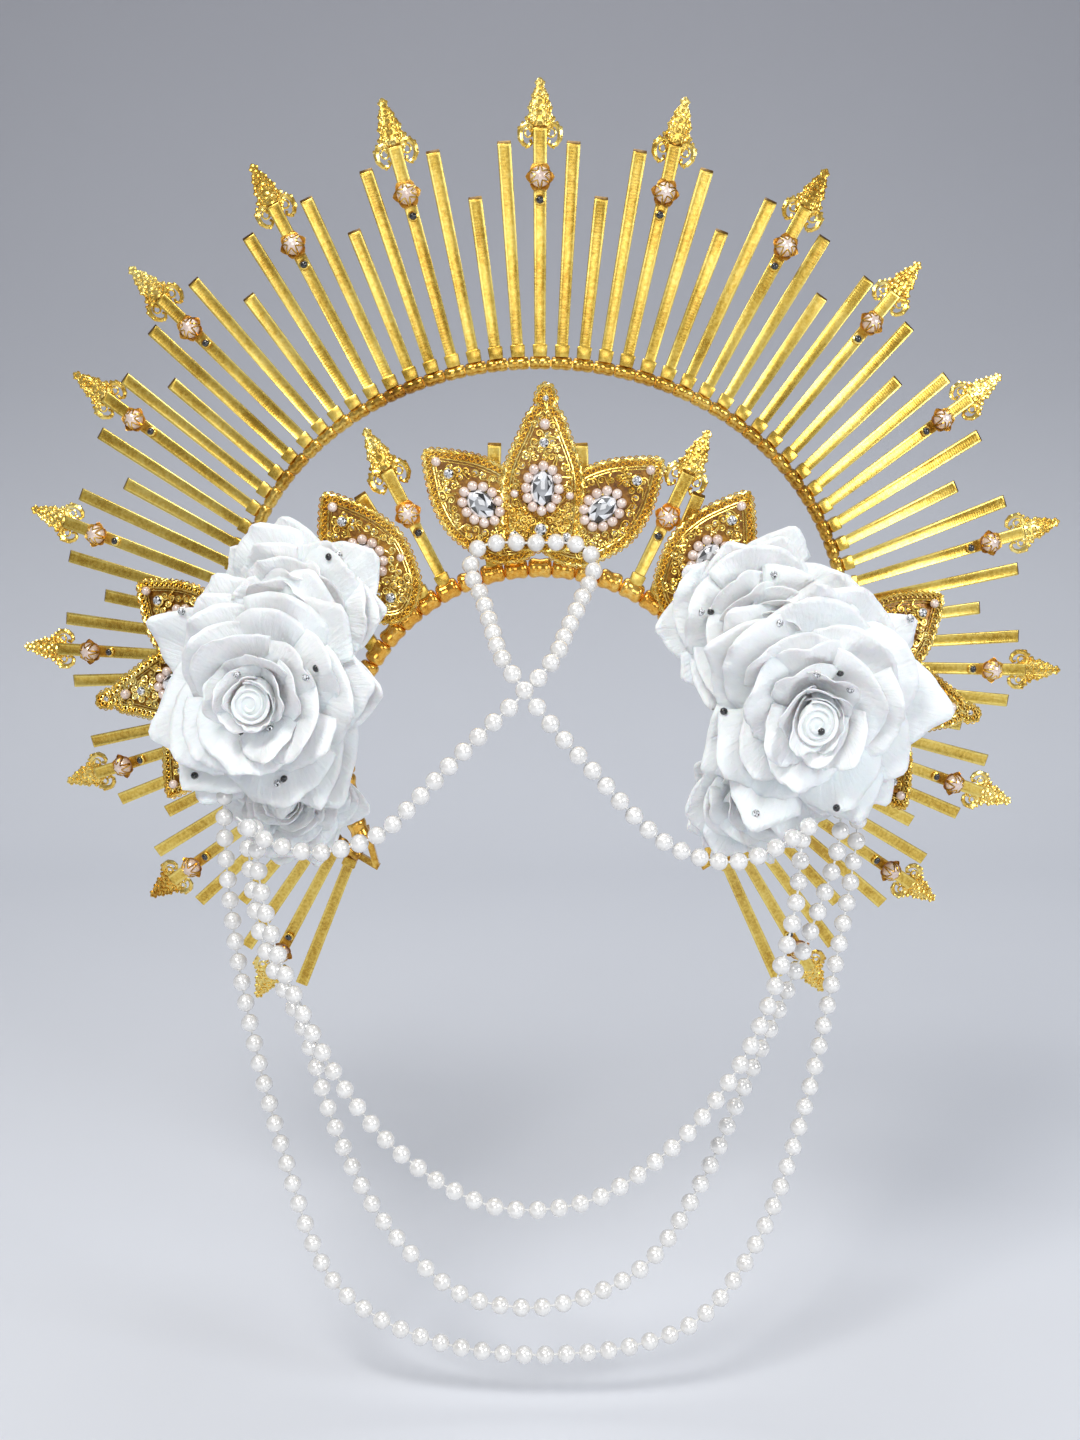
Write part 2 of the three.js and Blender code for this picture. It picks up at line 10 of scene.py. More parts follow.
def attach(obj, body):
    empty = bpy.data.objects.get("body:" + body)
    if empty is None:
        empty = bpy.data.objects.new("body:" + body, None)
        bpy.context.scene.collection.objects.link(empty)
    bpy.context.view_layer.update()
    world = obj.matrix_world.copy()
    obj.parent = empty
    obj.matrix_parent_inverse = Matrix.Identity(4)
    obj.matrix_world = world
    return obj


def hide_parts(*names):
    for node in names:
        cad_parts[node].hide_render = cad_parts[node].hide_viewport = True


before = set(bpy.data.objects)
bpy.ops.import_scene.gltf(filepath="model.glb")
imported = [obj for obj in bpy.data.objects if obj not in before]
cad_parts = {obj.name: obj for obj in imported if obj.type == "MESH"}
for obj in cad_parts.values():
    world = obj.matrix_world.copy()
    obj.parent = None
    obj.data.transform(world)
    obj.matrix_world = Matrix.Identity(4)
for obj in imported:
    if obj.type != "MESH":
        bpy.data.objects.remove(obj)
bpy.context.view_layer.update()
mm = 0.001  # shapes are drawn in millimetres and scaled once at the end
bodyName = "root"


class Wire:
    def __init__(self, finish, socket):
        self.finish = finish
        self.socket = socket

    def calc(self, kind, *values):
        return self.finish.node("ShaderNodeMath", {"operation": kind}, dict(enumerate(values)))

    def __add__(self, other): return self.calc("ADD", self, other)
    def __radd__(self, other): return self.calc("ADD", other, self)
    def __sub__(self, other): return self.calc("SUBTRACT", self, other)
    def __rsub__(self, other): return self.calc("SUBTRACT", other, self)
    def __mul__(self, other): return self.calc("MULTIPLY", self, other)
    def __rmul__(self, other): return self.calc("MULTIPLY", other, self)


class Finish:
    def __init__(self, name, constants):
        self.material = bpy.data.materials.new(name)
        self.material.use_nodes = True
        self.tree = self.material.node_tree
        self.shader = self.tree.nodes["Principled BSDF"]
        for socket, value in constants.items():
            self.shader.inputs[socket].default_value = value

    def node(self, kind, settings=None, values=None, out=0):
        made = self.tree.nodes.new(kind)
        for key, value in (settings or {}).items():
            if key == "stops":
                ramp = made.color_ramp
                while len(ramp.elements) < len(value):
                    ramp.elements.new(0.5)
                for stop, (place, colour) in zip(ramp.elements, value):
                    stop.position = place
                    stop.color = (*colour, 1)
            else:
                setattr(made, key, value)
        for socket, value in (values or {}).items():
            if isinstance(value, Wire):
                self.tree.links.new(value.socket, made.inputs[socket])
            else:
                made.inputs[socket].default_value = value
        return Wire(self, made.outputs[out])

    def feed(self, socket, wire):
        self.tree.links.new(wire.socket, self.shader.inputs[socket])

    def noise(self, scale, detail=3.0, place=None, rough=0.5):
        place = place or self.node("ShaderNodeTexCoord", out="Object")
        values = {"Vector": place, "Scale": scale, "Detail": detail, "Roughness": rough}
        return self.node("ShaderNodeTexNoise", None, values, out="Fac")

    def ramp(self, wire, stops):
        return self.node("ShaderNodeValToRGB", {"stops": stops}, {"Fac": wire}, out="Color")

    def bump(self, height, strength, distance):
        values = {"Height": height, "Strength": strength, "Distance": distance}
        self.feed("Normal", self.node("ShaderNodeBump", None, values))

    def wrap(self):  # the piece's own UV map, split into across and along
        place = self.node("ShaderNodeUVMap", {"uv_map": "wrap"})
        apart = self.node("ShaderNodeSeparateXYZ", None, {"Vector": place}, out="X")
        return apart, Wire(self, apart.socket.node.outputs["Y"])


goldTones = {  # dark, mid and light tone, roughness, strength of the ribs and of the whole relief
    "bar": ((0.52, 0.30, 0.03), (0.78, 0.53, 0.09), (0.93, 0.72, 0.19), 0.3, 0.3, 0.12),
    # the end tones are painted shade on the top ends of the bars
    "end": ((0.10, 0.045, 0.006), (0.22, 0.11, 0.012), (0.42, 0.24, 0.03), 0.4, 0.0, 0.3),
    "loop": ((0.26, 0.10, 0.007), (0.62, 0.33, 0.035), (0.95, 0.66, 0.15), 0.2, 0.0, 0.25),
    "band": ((0.60, 0.24, 0.015), (0.84, 0.42, 0.05), (0.97, 0.64, 0.15), 0.16, 0.0, 0.05),
    "lace": ((0.50, 0.24, 0.014), (0.88, 0.58, 0.10), (1.0, 0.83, 0.30), 0.2, 0.0, 0.35),
    # the backing tones are painted shade in the gaps behind the lace
    "backing": ((0.11, 0.038, 0.003), (0.25, 0.10, 0.009), (0.50, 0.25, 0.03), 0.4, 0.0, 0.7),
}
goldGrain = {
    "cloudScale": 38.0, "cloudShare": 0.55, "grainScale": 2200.0, "pitScale": 620.0, "pitHeight": 1.4,
    "stops": (0.33, 0.47, 0.62), "ribPitch": 1.3, "relief": 0.0002,
    # the rail and sunk values are a painted highlight on a bar's rails and painted shade in its sunk middle
    "railFrom": 1.75, "railPaintedHighlight": 0.12, "sunkPaintedShade": 0.05,  # a bar's rails start this many mm from its middle
}


def goldFinish(name):
    *tones, rough, ribs, relief = goldTones[name]
    gold = Finish("gold_" + name, {"Metallic": 0.86, "Coat Weight": 0.3, "Coat Roughness": 0.12})
    cloud = gold.noise(goldGrain["cloudScale"], 4.0)
    grain = gold.noise(goldGrain["grainScale"], 2.0)
    pits = gold.noise(goldGrain["pitScale"], 3.0)
    blotchAndSheen = cloud * goldGrain["cloudShare"] + pits * (1 - goldGrain["cloudShare"])
    height = grain * 0.5 + pits * goldGrain["pitHeight"]
    if ribs:  # painted highlight on the raised rails of a bar and painted shade in its sunk middle
        across, along = gold.wrap()
        rail = across.calc("GREATER_THAN", across.calc("ABSOLUTE", across), goldGrain["railFrom"])
        blotchAndSheen = blotchAndSheen + rail * goldGrain["railPaintedHighlight"] - goldGrain["sunkPaintedShade"]
        wave = along * (2 * math.pi / goldGrain["ribPitch"])
        height = height + wave.calc("SINE", wave) * ribs
    gold.feed("Base Color", gold.ramp(blotchAndSheen, list(zip(goldGrain["stops"], tones))))
    gold.feed("Roughness", rough + (grain - 0.5) * 0.16 + (cloud - 0.5) * 0.2)
    gold.bump(height, relief, goldGrain["relief"])
    return gold.material


def evenFinish(name, constants, scales, deep, light, rough, relief):
    # scales: of its tone, its gloss and its relief
    made = Finish(name, constants)
    tone, gloss, height = (made.noise(scale, 2.0) for scale in scales)
    made.feed("Base Color", made.ramp(tone, [(0.3, deep), (0.7, light)]))
    made.feed("Roughness", gloss * rough[1] + rough[0])
    made.bump(height, *relief)
    return made.material


def stoneFinish(name, bright):  # foil-backed cut stone: every facet has a grey of its own
    stone = Finish(name, {"Metallic": 0.3, "Coat Weight": 0.8, "Coat Roughness": 0.01})
    shade, _ = stone.wrap()
    # the greys of the facets are painted reflections and glints, scaled by the stone's brightness
    facets = [(0.0, 0.02), (0.3, 0.07), (0.5, 0.40), (0.75, 0.97)]
    tones = [(place, (grey * bright, grey * bright * 1.02, grey * bright * 1.06)) for place, grey in facets]
    stone.feed("Base Color", stone.ramp(shade, tones))
    stone.feed("Roughness", 0.02 + stone.noise(500.0) * 0.05)
    return stone.material


clothGrain = {"softScale": 38.0, "veinsAcross": 34.0, "veinsAlong": 3.0, "crepeScale": 420.0,
              "weaveScale": 3000.0, "relief": 0.0007}


def petalFinish():
    constants = {"Sheen Weight": 0.35, "Sheen Roughness": 0.5, "Subsurface Weight": 0.18,
                 "Subsurface Scale": 0.003, "Specular IOR Level": 0.3}
    petal = Finish("petal_cloth", constants)
    across, along = petal.wrap()
    soft = petal.noise(clothGrain["softScale"], 4.0)
    # darker and creamier towards each petal's base, deep in the rose: painted shade; the soft noise adds
    # random patches
    stops = [(0.1, (0.86, 0.85, 0.80)), (0.4, (0.93, 0.94, 0.955)), (0.75, (0.97, 0.975, 0.985))]
    petal.feed("Base Color", petal.ramp(soft * 0.5 + along * 0.5, stops))
    petal.feed("Roughness", 0.72 + soft * 0.2)
    veins = petal.node("ShaderNodeCombineXYZ", None, {"X": across * clothGrain["veinsAcross"],
                                                      "Y": along * clothGrain["veinsAlong"]})
    fibres = petal.noise(1.0, 4.0, veins, 0.6)
    crepe = petal.noise(clothGrain["crepeScale"], 4.0)
    weave = petal.noise(clothGrain["weaveScale"], 1.0)
    petal.bump(fibres * 1.8 + crepe * 1.0 + weave * 0.3, 0.6, clothGrain["relief"])
    return petal.material


barGold, shadedEndGold, loopGold, bandGold, laceGold, shadedBackGold = (goldFinish(name) for name in goldTones)
nacre = {"Metallic": 0.25, "Coat Weight": 0.9, "Coat Roughness": 0.06, "Specular IOR Level": 0.6}
whitePearl, blushPearl = (
    evenFinish(name, nacre, (160.0, 900.0, 600.0), deep, light, (0.2, 0.06), (0.02, 0.0001))
    for name, deep, light in [("white_pearl", (0.84, 0.82, 0.79), (0.95, 0.94, 0.92)),
                              ("blush_pearl", (0.72, 0.54, 0.45), (0.92, 0.78, 0.70))])
cutStone = stoneFinish("cut_stone", 1.0)
smokyStone = stoneFinish("smoky_stone", 0.06)
petalCloth = petalFinish()
whiteThread = evenFinish("white_thread", {"Sheen Weight": 0.3}, (1800.0,) * 3, (0.74, 0.74, 0.72),
                         (0.92, 0.92, 0.91), (0.7, 0.2), (0.5, 0.0002))
print("materials made")


def vec(x, y, z): return Vector((x, y, z))
def move(x, y, z): return Matrix.Translation((x, y, z))
def turn(degrees, axis): return Matrix.Rotation(math.radians(degrees), 4, axis)
def size(x, y, z): return Matrix.Diagonal((x, y, z, 1))
def evenSize(r): return size(r, r, r)
def onCircle(angle, rx=1.0, rz=1.0): return Vector((rx * math.cos(angle), rz * math.sin(angle)))
def onlyVerts(geom): return [g for g in geom if isinstance(g, bmesh.types.BMVert)]


def outward(degrees):  # from straight up, clockwise as seen from the front
    return vec(math.sin(math.radians(degrees)), 0, math.cos(math.radians(degrees)))


def axesAt(at, x, y, z): return move(*at) @ Matrix((x, y, z)).transposed().to_4x4()


def addObject(name, data):
    made = bpy.data.objects.new(name, data)
    bpy.context.scene.collection.objects.link(made)
    return made


def freshMesh():
    bm = bmesh.new()
    bm.loops.layers.uv.new("wrap")
    return bm


def asMesh(bm, name="stamp"):
    mesh = bpy.data.meshes.new(name)
    bm.to_mesh(mesh)
    bm.free()
    return mesh


def stamp(bm, mesh, matrix, slotIndex=None):
    # adds a ready mesh, with its own slots unless one is given
    firstVert, firstFace = len(bm.verts), len(bm.faces)
    bm.from_mesh(mesh)
    bm.verts.ensure_lookup_table()
    bmesh.ops.transform(bm, matrix=matrix, verts=bm.verts[firstVert:])
    if slotIndex is not None:
        bm.faces.ensure_lookup_table()
        for face in bm.faces[firstFace:]:
            face.material_index = slotIndex


def wires(bm, paths, slotIndex, sides=1, closed=False):
    # paths: lists of (point, radius); every path becomes one round wire
    curve = bpy.data.curves.new("wire", "CURVE")
    curve.dimensions = "3D"
    curve.bevel_depth = 1.0
    curve.bevel_resolution = sides
    curve.use_fill_caps = True
    for path in paths:
        spline = curve.splines.new("POLY")
        spline.points.add(len(path) - 1)
        spline.use_cyclic_u = closed
        for point, (at, radius) in zip(spline.points, path):
            point.co = (*at, 1)
            point.radius = radius
    holder = addObject("wire", curve)
    shown = holder.evaluated_get(bpy.context.evaluated_depsgraph_get())
    mesh = bpy.data.meshes.new_from_object(shown)
    while mesh.uv_layers:
        mesh.uv_layers.remove(mesh.uv_layers[0])
    stamp(bm, mesh, Matrix(), slotIndex)
    bpy.data.objects.remove(holder)
    bpy.data.curves.remove(curve)
    bpy.data.meshes.remove(mesh)


def camel(node):
    first, *rest = node.split("_")
    return first + "".join(part.capitalize() for part in rest)


def finishPiece(name, bm, materials, nodes=(), angle=38):
    bmesh.ops.scale(bm, vec=(mm, mm, mm), verts=bm.verts)
    mesh = asMesh(bm, name)
    for material in materials:
        mesh.materials.append(material)
    mesh.shade_smooth()
    mesh.set_sharp_from_angle(angle=math.radians(angle))
    piece = addObject(name, mesh)
    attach(piece, bodyName)
    if nodes:
        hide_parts(*nodes)
    return piece


def ballMesh(across, up):
    bm = freshMesh()
    bmesh.ops.create_uvsphere(bm, u_segments=across, v_segments=up, radius=1.0)
    return asMesh(bm)


def gemMesh(sides=8):  # table towards -Y, girdle at y = 0, one unit of radius and one unit high
    bm = freshMesh()
    bmesh.ops.create_circle(bm, cap_ends=True, segments=sides, radius=1.0)
    table = bm.faces[:][0]
    for across, high, twist in [(1.0, 0.2, 0), (0.8, 0.68, 180 / sides), (0.42, 1.0, 0)]:
        bmesh.ops.inset_region(bm, faces=[table], thickness=0.01, use_boundary=True, use_even_offset=False)
        factor = across / max(v.co.xy.length for v in table.verts)
        for v in table.verts:
            v.co = turn(twist, "Z") @ vec(v.co.x * factor, v.co.y * factor, high)
    bmesh.ops.triangulate(bm, faces=[f for f in bm.faces if f is not table])
    layer = bm.loops.layers.uv["wrap"]
    # every facet gets a grey of its own and the table a middle grey: painted reflections
    shades = random.Random(11)
    for face in bm.faces:
        shade = 0.52
        if face is not table:
            shade = shades.choice((0.16, 0.34, 0.5, 0.75, 0.9)) + shades.uniform(-0.08, 0.08)
        for loop in face.loops:
            loop[layer].uv = (shade, shade)
    bmesh.ops.rotate(bm, matrix=Matrix.Rotation(math.radians(90), 3, "X"), verts=bm.verts)
    return asMesh(bm)


ball = ballMesh(16, 10)
pearl = ballMesh(12, 8)
smallBall = ballMesh(10, 6)
grainBall = ballMesh(6, 4)
gem = gemMesh()


hoop = {"halfWidth": 148, "halfHeight": 126, "centreZ": -29.5, "frontY": 10, "setBack": 40, "return": 156,
        "fill": 0.94}  # share of its pitch that a loop of a ray fills
rayTable = [  # name, degrees along the hoop, outward angle, backward lean
    ("left_9", -140, -152, 28), ("left_8", -126.5, -129, 30), ("left_7", -110.5, -110, 25),
    ("left_6", -96, -89.5, 20.5), ("left_5", -80.5, -71.5, 19), ("left_4", -63.5, -55, 15.5),
    ("left_3", -46, -46, 8), ("left_2", -30.5, -28, 6), ("left_1", -15, -15, -2), ("top", 0, 0, -1),
    ("right_1", 15, 12.5, 0), ("right_2", 30, 29, 9), ("right_3", 46, 41, 17), ("right_4", 63, 55.5, 18),
    ("right_5", 80, 75.5, 16), ("right_6", 97.5, 93.5, 18), ("right_7", 113, 112, 23),
    ("right_8", 127.5, 127.5, 28), ("right_9", 141, 150, 30),
]
tie = {
    "loopRadial": 3.1, "loopDepth": 3.2, "tall": 97, "short": 74.5, "finial": 122.5,
    "headWidth": 6.8, "headFrom": 2.6, "headTo": 8.2, "headDepth": 5.0, "headFoot": 0.9,
    "headBevel": 0.6, "headRim": 0.55, "headSunk": 0.35,
    "barBase": 5.1, "barTip": 6.2, "barThick": 1.8, "barSlant": 1.6, "barBevel": 0.36,
    "barRail": 0.75, "barSunk": 0.32, "overlap": 0.3,
}
tip = {"length": 31, "y": 1.8, "bare": 0.62}  # bare: share of the tip above the end of its bar
cup = {"at": 80.5, "cap": (1.17, 1.05, 1.17), "pearl": (4.6, 4.6, 4.6), "pearlFront": 3.3, "stoneDrop": 9.6,
       "stoneRim": (2.5, 1.1, 2.5), "stone": (1.8, 1.2, 1.8), "flare": 3.4, "lobes": 6, "lobeDepth": 0.2,
       "lobeBend": 0.7, "bead": 4.3, "wireFoot": 2.5, "wireHalf": 27, "wire": 0.34}


raySlot = {"bar": 0, "loop": 1, "lace": 2, "pearl": 3, "stone": 4, "end": 5}


def rayMaterials(loops): return [barGold, loops, laceGold, blushPearl, smokyStone, shadedEndGold]


def hoopAt(degrees):
    a = math.radians(degrees)
    back = math.sin(math.radians(degrees * 180 / hoop["return"])) ** 2
    return vec(hoop["halfWidth"] * math.sin(a), hoop["frontY"] + hoop["setBack"] * back,
               hoop["centreZ"] + hoop["halfHeight"] * math.cos(a))


def rayFrame(origin, out, lean):
    o, b = math.radians(out), math.radians(lean)
    away = vec(math.sin(o) * math.cos(b), math.sin(b), math.cos(o) * math.cos(b))
    across = vec(math.cos(o), 0, -math.sin(o))
    return axesAt(origin, across, away.cross(across), away)


def rayAt(index):
    share = index / 4 + (len(rayTable) - 1) / 2
    low = min(max(math.floor(share), 0), len(rayTable) - 2)
    t = share - low
    return [a * (1 - t) + b * t for a, b in zip(rayTable[low][1:], rayTable[low + 1][1:])]


def softEdges(bm, offset):
    bmesh.ops.bevel(bm, geom=bm.edges[:], offset=offset, segments=2, affect="EDGES", profile=0.5, material=-1)


def sink(bm, toward, rim, depth):
    # the biggest face on that side keeps a rim and its middle goes in
    flat = max(bm.faces, key=lambda f: f.normal.dot(toward) * f.calc_area())
    bmesh.ops.inset_region(bm, faces=[flat], thickness=rim, depth=-depth, use_even_offset=True)


def barMesh(length):
    # flat bar with raised rails at both edges, standing on z = 0
    bm = freshMesh()
    bmesh.ops.create_cube(bm, size=1.0)
    half = length / 2
    for v in bm.verts:
        wide = tie["barTip"] if v.co.z > 0 else tie["barBase"]
        slant = tie["barSlant"] if v.co.z > 0 and v.co.y < 0 else 0.0
        v.co = vec(v.co.x * wide, v.co.y * tie["barThick"], v.co.z * length + half - slant)
    softEdges(bm, tie["barBevel"])
    for side in (-1, 1):
        sink(bm, vec(0, side, 0), tie["barRail"], tie["barSunk"])
    layer = bm.loops.layers.uv["wrap"]
    for face in bm.faces:
        # the top end of each bar takes the darker end gold: painted shade
        if face.normal.z > 0.5:
            face.material_index = raySlot["end"]
        for loop in face.loops:
            loop[layer].uv = (loop.vert.co.x, loop.vert.co.z)
    return asMesh(bm)


def headMesh():
    # block between a ray's loop and its bar
    bm = freshMesh()
    bmesh.ops.create_cube(bm, size=1.0)
    high, middle = tie["headTo"] - tie["headFrom"], (tie["headTo"] + tie["headFrom"]) / 2
    for v in bm.verts:
        wide = tie["headWidth"] * (1.0 if v.co.z > 0 else tie["headFoot"])
        v.co = vec(v.co.x * wide, v.co.y * tie["headDepth"], v.co.z * high + middle)
    softEdges(bm, tie["headBevel"])
    sink(bm, vec(0, 0, 1), tie["headRim"], tie["headSunk"])
    return asMesh(bm)


def spun(bm, profile, axis, steps):
    # turns an open line of corners once round the axis
    corners = [bm.verts.new(corner) for corner in profile]
    for a, b in zip(corners, corners[1:]):
        bm.edges.new((a, b))
    bmesh.ops.spin(bm, geom=bm.verts[:] + bm.edges[:], cent=(0, 0, 0), axis=axis, dvec=(0, 0, 0),
                   angle=2 * math.pi, steps=steps, use_merge=True)
    bmesh.ops.remove_doubles(bm, verts=bm.verts, dist=1e-4)


def barrelMesh(half, sides=14):
    # profile (along, radius) up to its middle, mirrored and spun round X, as one unit of radius
    bm = freshMesh()
    whole = half + [(-along, radius) for along, radius in reversed(half) if along]
    spun(bm, [(along, radius, 0) for along, radius in whole], (1, 0, 0), sides)
    rims = [e for e in bm.edges if e.is_boundary]
    bmesh.ops.holes_fill(bm, edges=rims, sides=0)
    bmesh.ops.recalc_face_normals(bm, faces=bm.faces)
    return asMesh(bm)


barrel = barrelMesh([(-1, 0.8), (-0.86, 0.93), (-0.55, 1.0), (-0.25, 0.97), (-0.08, 0.88)])
bandBarrel = barrelMesh([(-1, 0.6), (-0.97, 0.72), (-0.88, 0.87), (-0.74, 0.97), (-0.56, 1.0),
                         (-0.38, 0.97), (-0.18, 0.91), (0, 0.89)], 24)
head = headMesh()


def arc(cx, cz, radius, start, end, y, wire, steps=10, shrink=1.0):
    # flat arc or spiral in the X-Z plane; angles from +X towards +Z
    path = []
    for i in range(steps + 1):
        t = i / steps
        a = math.radians(start + (end - start) * t)
        r = radius * (1 + (shrink - 1) * t)
        path.append((vec(cx + r * math.cos(a), y, cz + r * math.sin(a)), wire))
    return path


def tipMesh():
    # pierced spearhead: a dense stepped spear over two open horns, a small fleur at its top
    bm = freshMesh()
    y = tip["y"]
    half = [(2.4, 6.0), (3.6, 8.5), (5.4, 11.5), (5.9, 14.5), (4.3, 16.8), (4.8, 19.0), (3.9, 21.6),
            (3.2, 22.6), (3.3, 24.2), (2.0, 26.6), (1.1, 28.0), (1.7, 29.6), (0.7, 31.0)]
    outline = [Vector(p) for p in half] + [Vector((-x, z)) for x, z in reversed(half)]
    plate = bm.faces.new([bm.verts.new((p.x * 0.9, y, p.y)) for p in outline])
    bmesh.ops.triangulate(bm, faces=[plate])
    front = bmesh.ops.extrude_face_region(bm, geom=bm.faces[:], use_keep_orig=True)["geom"]
    bmesh.ops.translate(bm, vec=(0, -0.7, 0), verts=onlyVerts(front))
    bmesh.ops.subdivide_edges(bm, edges=bm.edges[:], cuts=2, use_grid_fill=True)
    bmesh.ops.recalc_face_normals(bm, faces=bm.faces[:])
    for v in bm.verts:
        v.co.y += 0.45 * noise.noise(v.co * 0.9) * (1 if v.co.y < y - 0.3 else 0.3)
    paths = [[(vec(p.x, y - 0.2, p.y), 0.62) for p in outline]]
    for side in (-1, 1):
        horn = [(2.0, 10.6, 1.1), (4.6, 12.4, 1.25), (7.4, 11.7, 1.4), (8.9, 9.0, 1.45), (8.8, 5.8, 1.3),
                (7.2, 3.4, 1.1), (5.0, 2.7, 0.95), (3.7, 4.0, 0.85), (4.3, 5.6, 0.8)]
        paths.append([(vec(side * x, y, z), r) for x, z, r in horn])
        # a curl inside the horn, three scrolls up the spear
        curls = [(4.9, 8.2, y - 0.3, arc(0, 0, 2.3, 120, -250, 0, 0.55, 10, 0.5))]
        for cx, cz, reach, begin in [(2.9, 14.2, 1.9, 200), (2.3, 19.2, 1.6, 160), (1.6, 23.6, 1.2, 190)]:
            curls.append((cx, cz, y - 0.75, arc(0, 0, reach, begin, begin - 420, 0, 0.52, 9, 0.35)))
        for cx, cz, front, curl in curls:
            paths.append([(vec(side * (cx + at.x), front, cz + at.z), r) for at, r in curl])
    wires(bm, paths, 0)
    grains = [(0, 31.0, 0.95), (0, 28.2, 0.9), (0, 25.8, 1.05), (0, 21.6, 1.3), (0, 17.0, 1.45),
              (0, 12.0, 1.6)]
    for side in (-1, 1):
        grains += [(side * x, z, r) for x, z, r in [
            (1.7, 29.7, 0.8), (2.1, 26.6, 0.75), (3.3, 24.2, 0.85), (3.9, 21.4, 0.8), (4.9, 19.0, 0.95),
            (4.3, 16.7, 0.8), (6.0, 14.5, 1.05), (5.5, 11.4, 0.9), (9.3, 10.4, 0.95), (9.3, 6.6, 0.9),
            (7.6, 12.6, 0.85), (1.4, 15.0, 0.8), (1.2, 19.4, 0.7), (3.6, 8.9, 0.8), (6.0, 2.2, 0.8)]]
    for x, z, r in grains:
        stamp(bm, grainBall, move(x, y - 0.6, z) @ evenSize(r))
    return asMesh(bm)


tipStamp = tipMesh()


def cupMesh():
    # six-petalled bead cap whose axis points to the front
    bm = freshMesh()
    profile = [(0.4, 0.2), (-0.6, 2.4), (-1.8, 3.6), (-3.1, 5.2), (-3.3, 5.6), (-2.8, 5.2), (-1.4, 3.2),
               (-0.6, 1.0)]
    spun(bm, [(radius, y, 0) for y, radius in profile], (0, 1, 0), 24)
    for v in bm.verts:
        if math.hypot(v.co.x, v.co.z) > cup["flare"]:
            lobe = 0.5 + 0.5 * math.cos(cup["lobes"] * math.atan2(v.co.z, v.co.x))
            scale = 1 - cup["lobeDepth"] * (1 - lobe)
            v.co.x *= scale
            v.co.z *= scale
            v.co.y += cup["lobeBend"] * (1 - lobe)
    bmesh.ops.recalc_face_normals(bm, faces=bm.faces)
    # thin wire petals that hold the bead
    petals = []
    for k in range(cup["lobes"]):
        lobe = []
        for step in range(9):
            t = step / 8 * 2 - 1
            angle = math.radians(360 / cup["lobes"] * k + cup["wireHalf"] * t)
            reach = cup["bead"] - cup["wireFoot"] * math.cos(t * math.pi / 2)
            rise = math.sqrt(max(cup["bead"] ** 2 - reach ** 2, 0)) * 0.93
            lobe.append((vec(reach * math.cos(angle), -3.2 - rise, reach * math.sin(angle)), cup["wire"]))
        petals.append(lobe)
    wires(bm, petals, 0, 0)
    return asMesh(bm)


cupStamp = cupMesh()


bars = {}  # one stamp for every length of bar


def addTie(bm, frameHere, length):
    foot = tie["headTo"] - tie["overlap"]
    if length not in bars:
        bars[length] = barMesh(length - foot)
    stamp(bm, head, frameHere, raySlot["bar"])
    stamp(bm, bars[length], frameHere @ move(0, 0, foot))


def addFinial(bm, frameHere, full):
    # lace tip behind the bar, cup with its pearl, small stone in its rim
    at, front = full - (tie["finial"] - cup["at"]), -tie["barThick"] / 2
    low = at - cup["stoneDrop"]
    for mesh, y, z, sizes, slotName in [
            (tipStamp, 0, full - tip["length"], (1, 1, 1), "lace"),
            (cupStamp, front, at, cup["cap"], "loop"),
            (ball, front - cup["pearlFront"], at, cup["pearl"], "pearl"),
            (smallBall, front - 0.2, low, cup["stoneRim"], "lace"),
            (gem, front - 0.9, low, cup["stone"], "stone")]:
        stamp(bm, mesh, frameHere @ move(0, y, z) @ size(*sizes), raySlot[slotName])


def hoopBarrel(bm, shape, curve, at, reach, radial, depth):
    # a ridged loop round the curve, its axis along it
    along = (curve(at + 0.1) - curve(at - 0.1)).normalized()
    out = outward(at)
    out = (out - along * out.dot(along)).normalized()
    half = (curve(at + reach) - curve(at - reach)).length / 2
    axes = axesAt(curve(at), along, out, along.cross(out))
    stamp(bm, shape, axes @ size(half, radial, depth), raySlot["loop"])


def rayGroup(node, indices):
    bm = freshMesh()
    for index in indices:
        along, out, lean = rayAt(index)
        before, after = rayAt(index - 1)[0], rayAt(index + 1)[0]
        reach = min(along - before, after - along) / 2 * hoop["fill"]
        hoopBarrel(bm, barrel, hoopAt, along, reach, tie["loopRadial"], tie["loopDepth"])
        here = rayFrame(hoopAt(along), out, lean)
        step = abs(index) % 4  # 0 has a tip, 2 is short, 1 and 3 are tall
        if step == 0:
            addTie(bm, here, tie["finial"] - tip["bare"] * tip["length"])
            addFinial(bm, here, tie["finial"])
        else:
            addTie(bm, here, tie["short"] if step == 2 else tie["tall"])
    finishPiece(camel(node), bm, rayMaterials(loopGold), [node])


last = len(rayTable) - 1
for k, row in enumerate(rayTable):
    index = 4 * k - 2 * last
    # the end pieces take one plain ray more
    rayGroup("finial_ray_" + row[0], range(index - (k == 0), index + 1 + (k == last)))
for k in range(last):
    index = 4 * k - 2 * last
    side, number = ("left", last // 2 - k) if k < last // 2 else ("right", k - last // 2 + 1)
    rayGroup(f"plain_rays_{side}_{number}", range(index + 1, index + 4))
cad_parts["halo_hoop"].material_slots[0].material = loopGold
print("hoop and rays made")


band = {
    "radius": 90, "radial": 4.6, "depth": 4.4, "end": 114, "loops": 33, "fill": 0.49,
    "parts": [("left", -16, -4), ("top", -3, 3), ("right", 4, 16)],
    # loop: outward angle, length, has a lace tip
    "rays": {-8: (-37, 66, 0), -5: (-32, 58, 0), -4: (-27, 81, 1), -2: (1, 59, 0), 2: (-3, 59, 0),
             4: (25.5, 79, 1), 5: (23, 54, 0), 8: (35, 66, 0)},
}


def bandAt(degrees):
    a, radius = math.radians(degrees), band["radius"]
    return vec(radius * math.sin(a), 0, band["radial"] - radius + radius * math.cos(a))


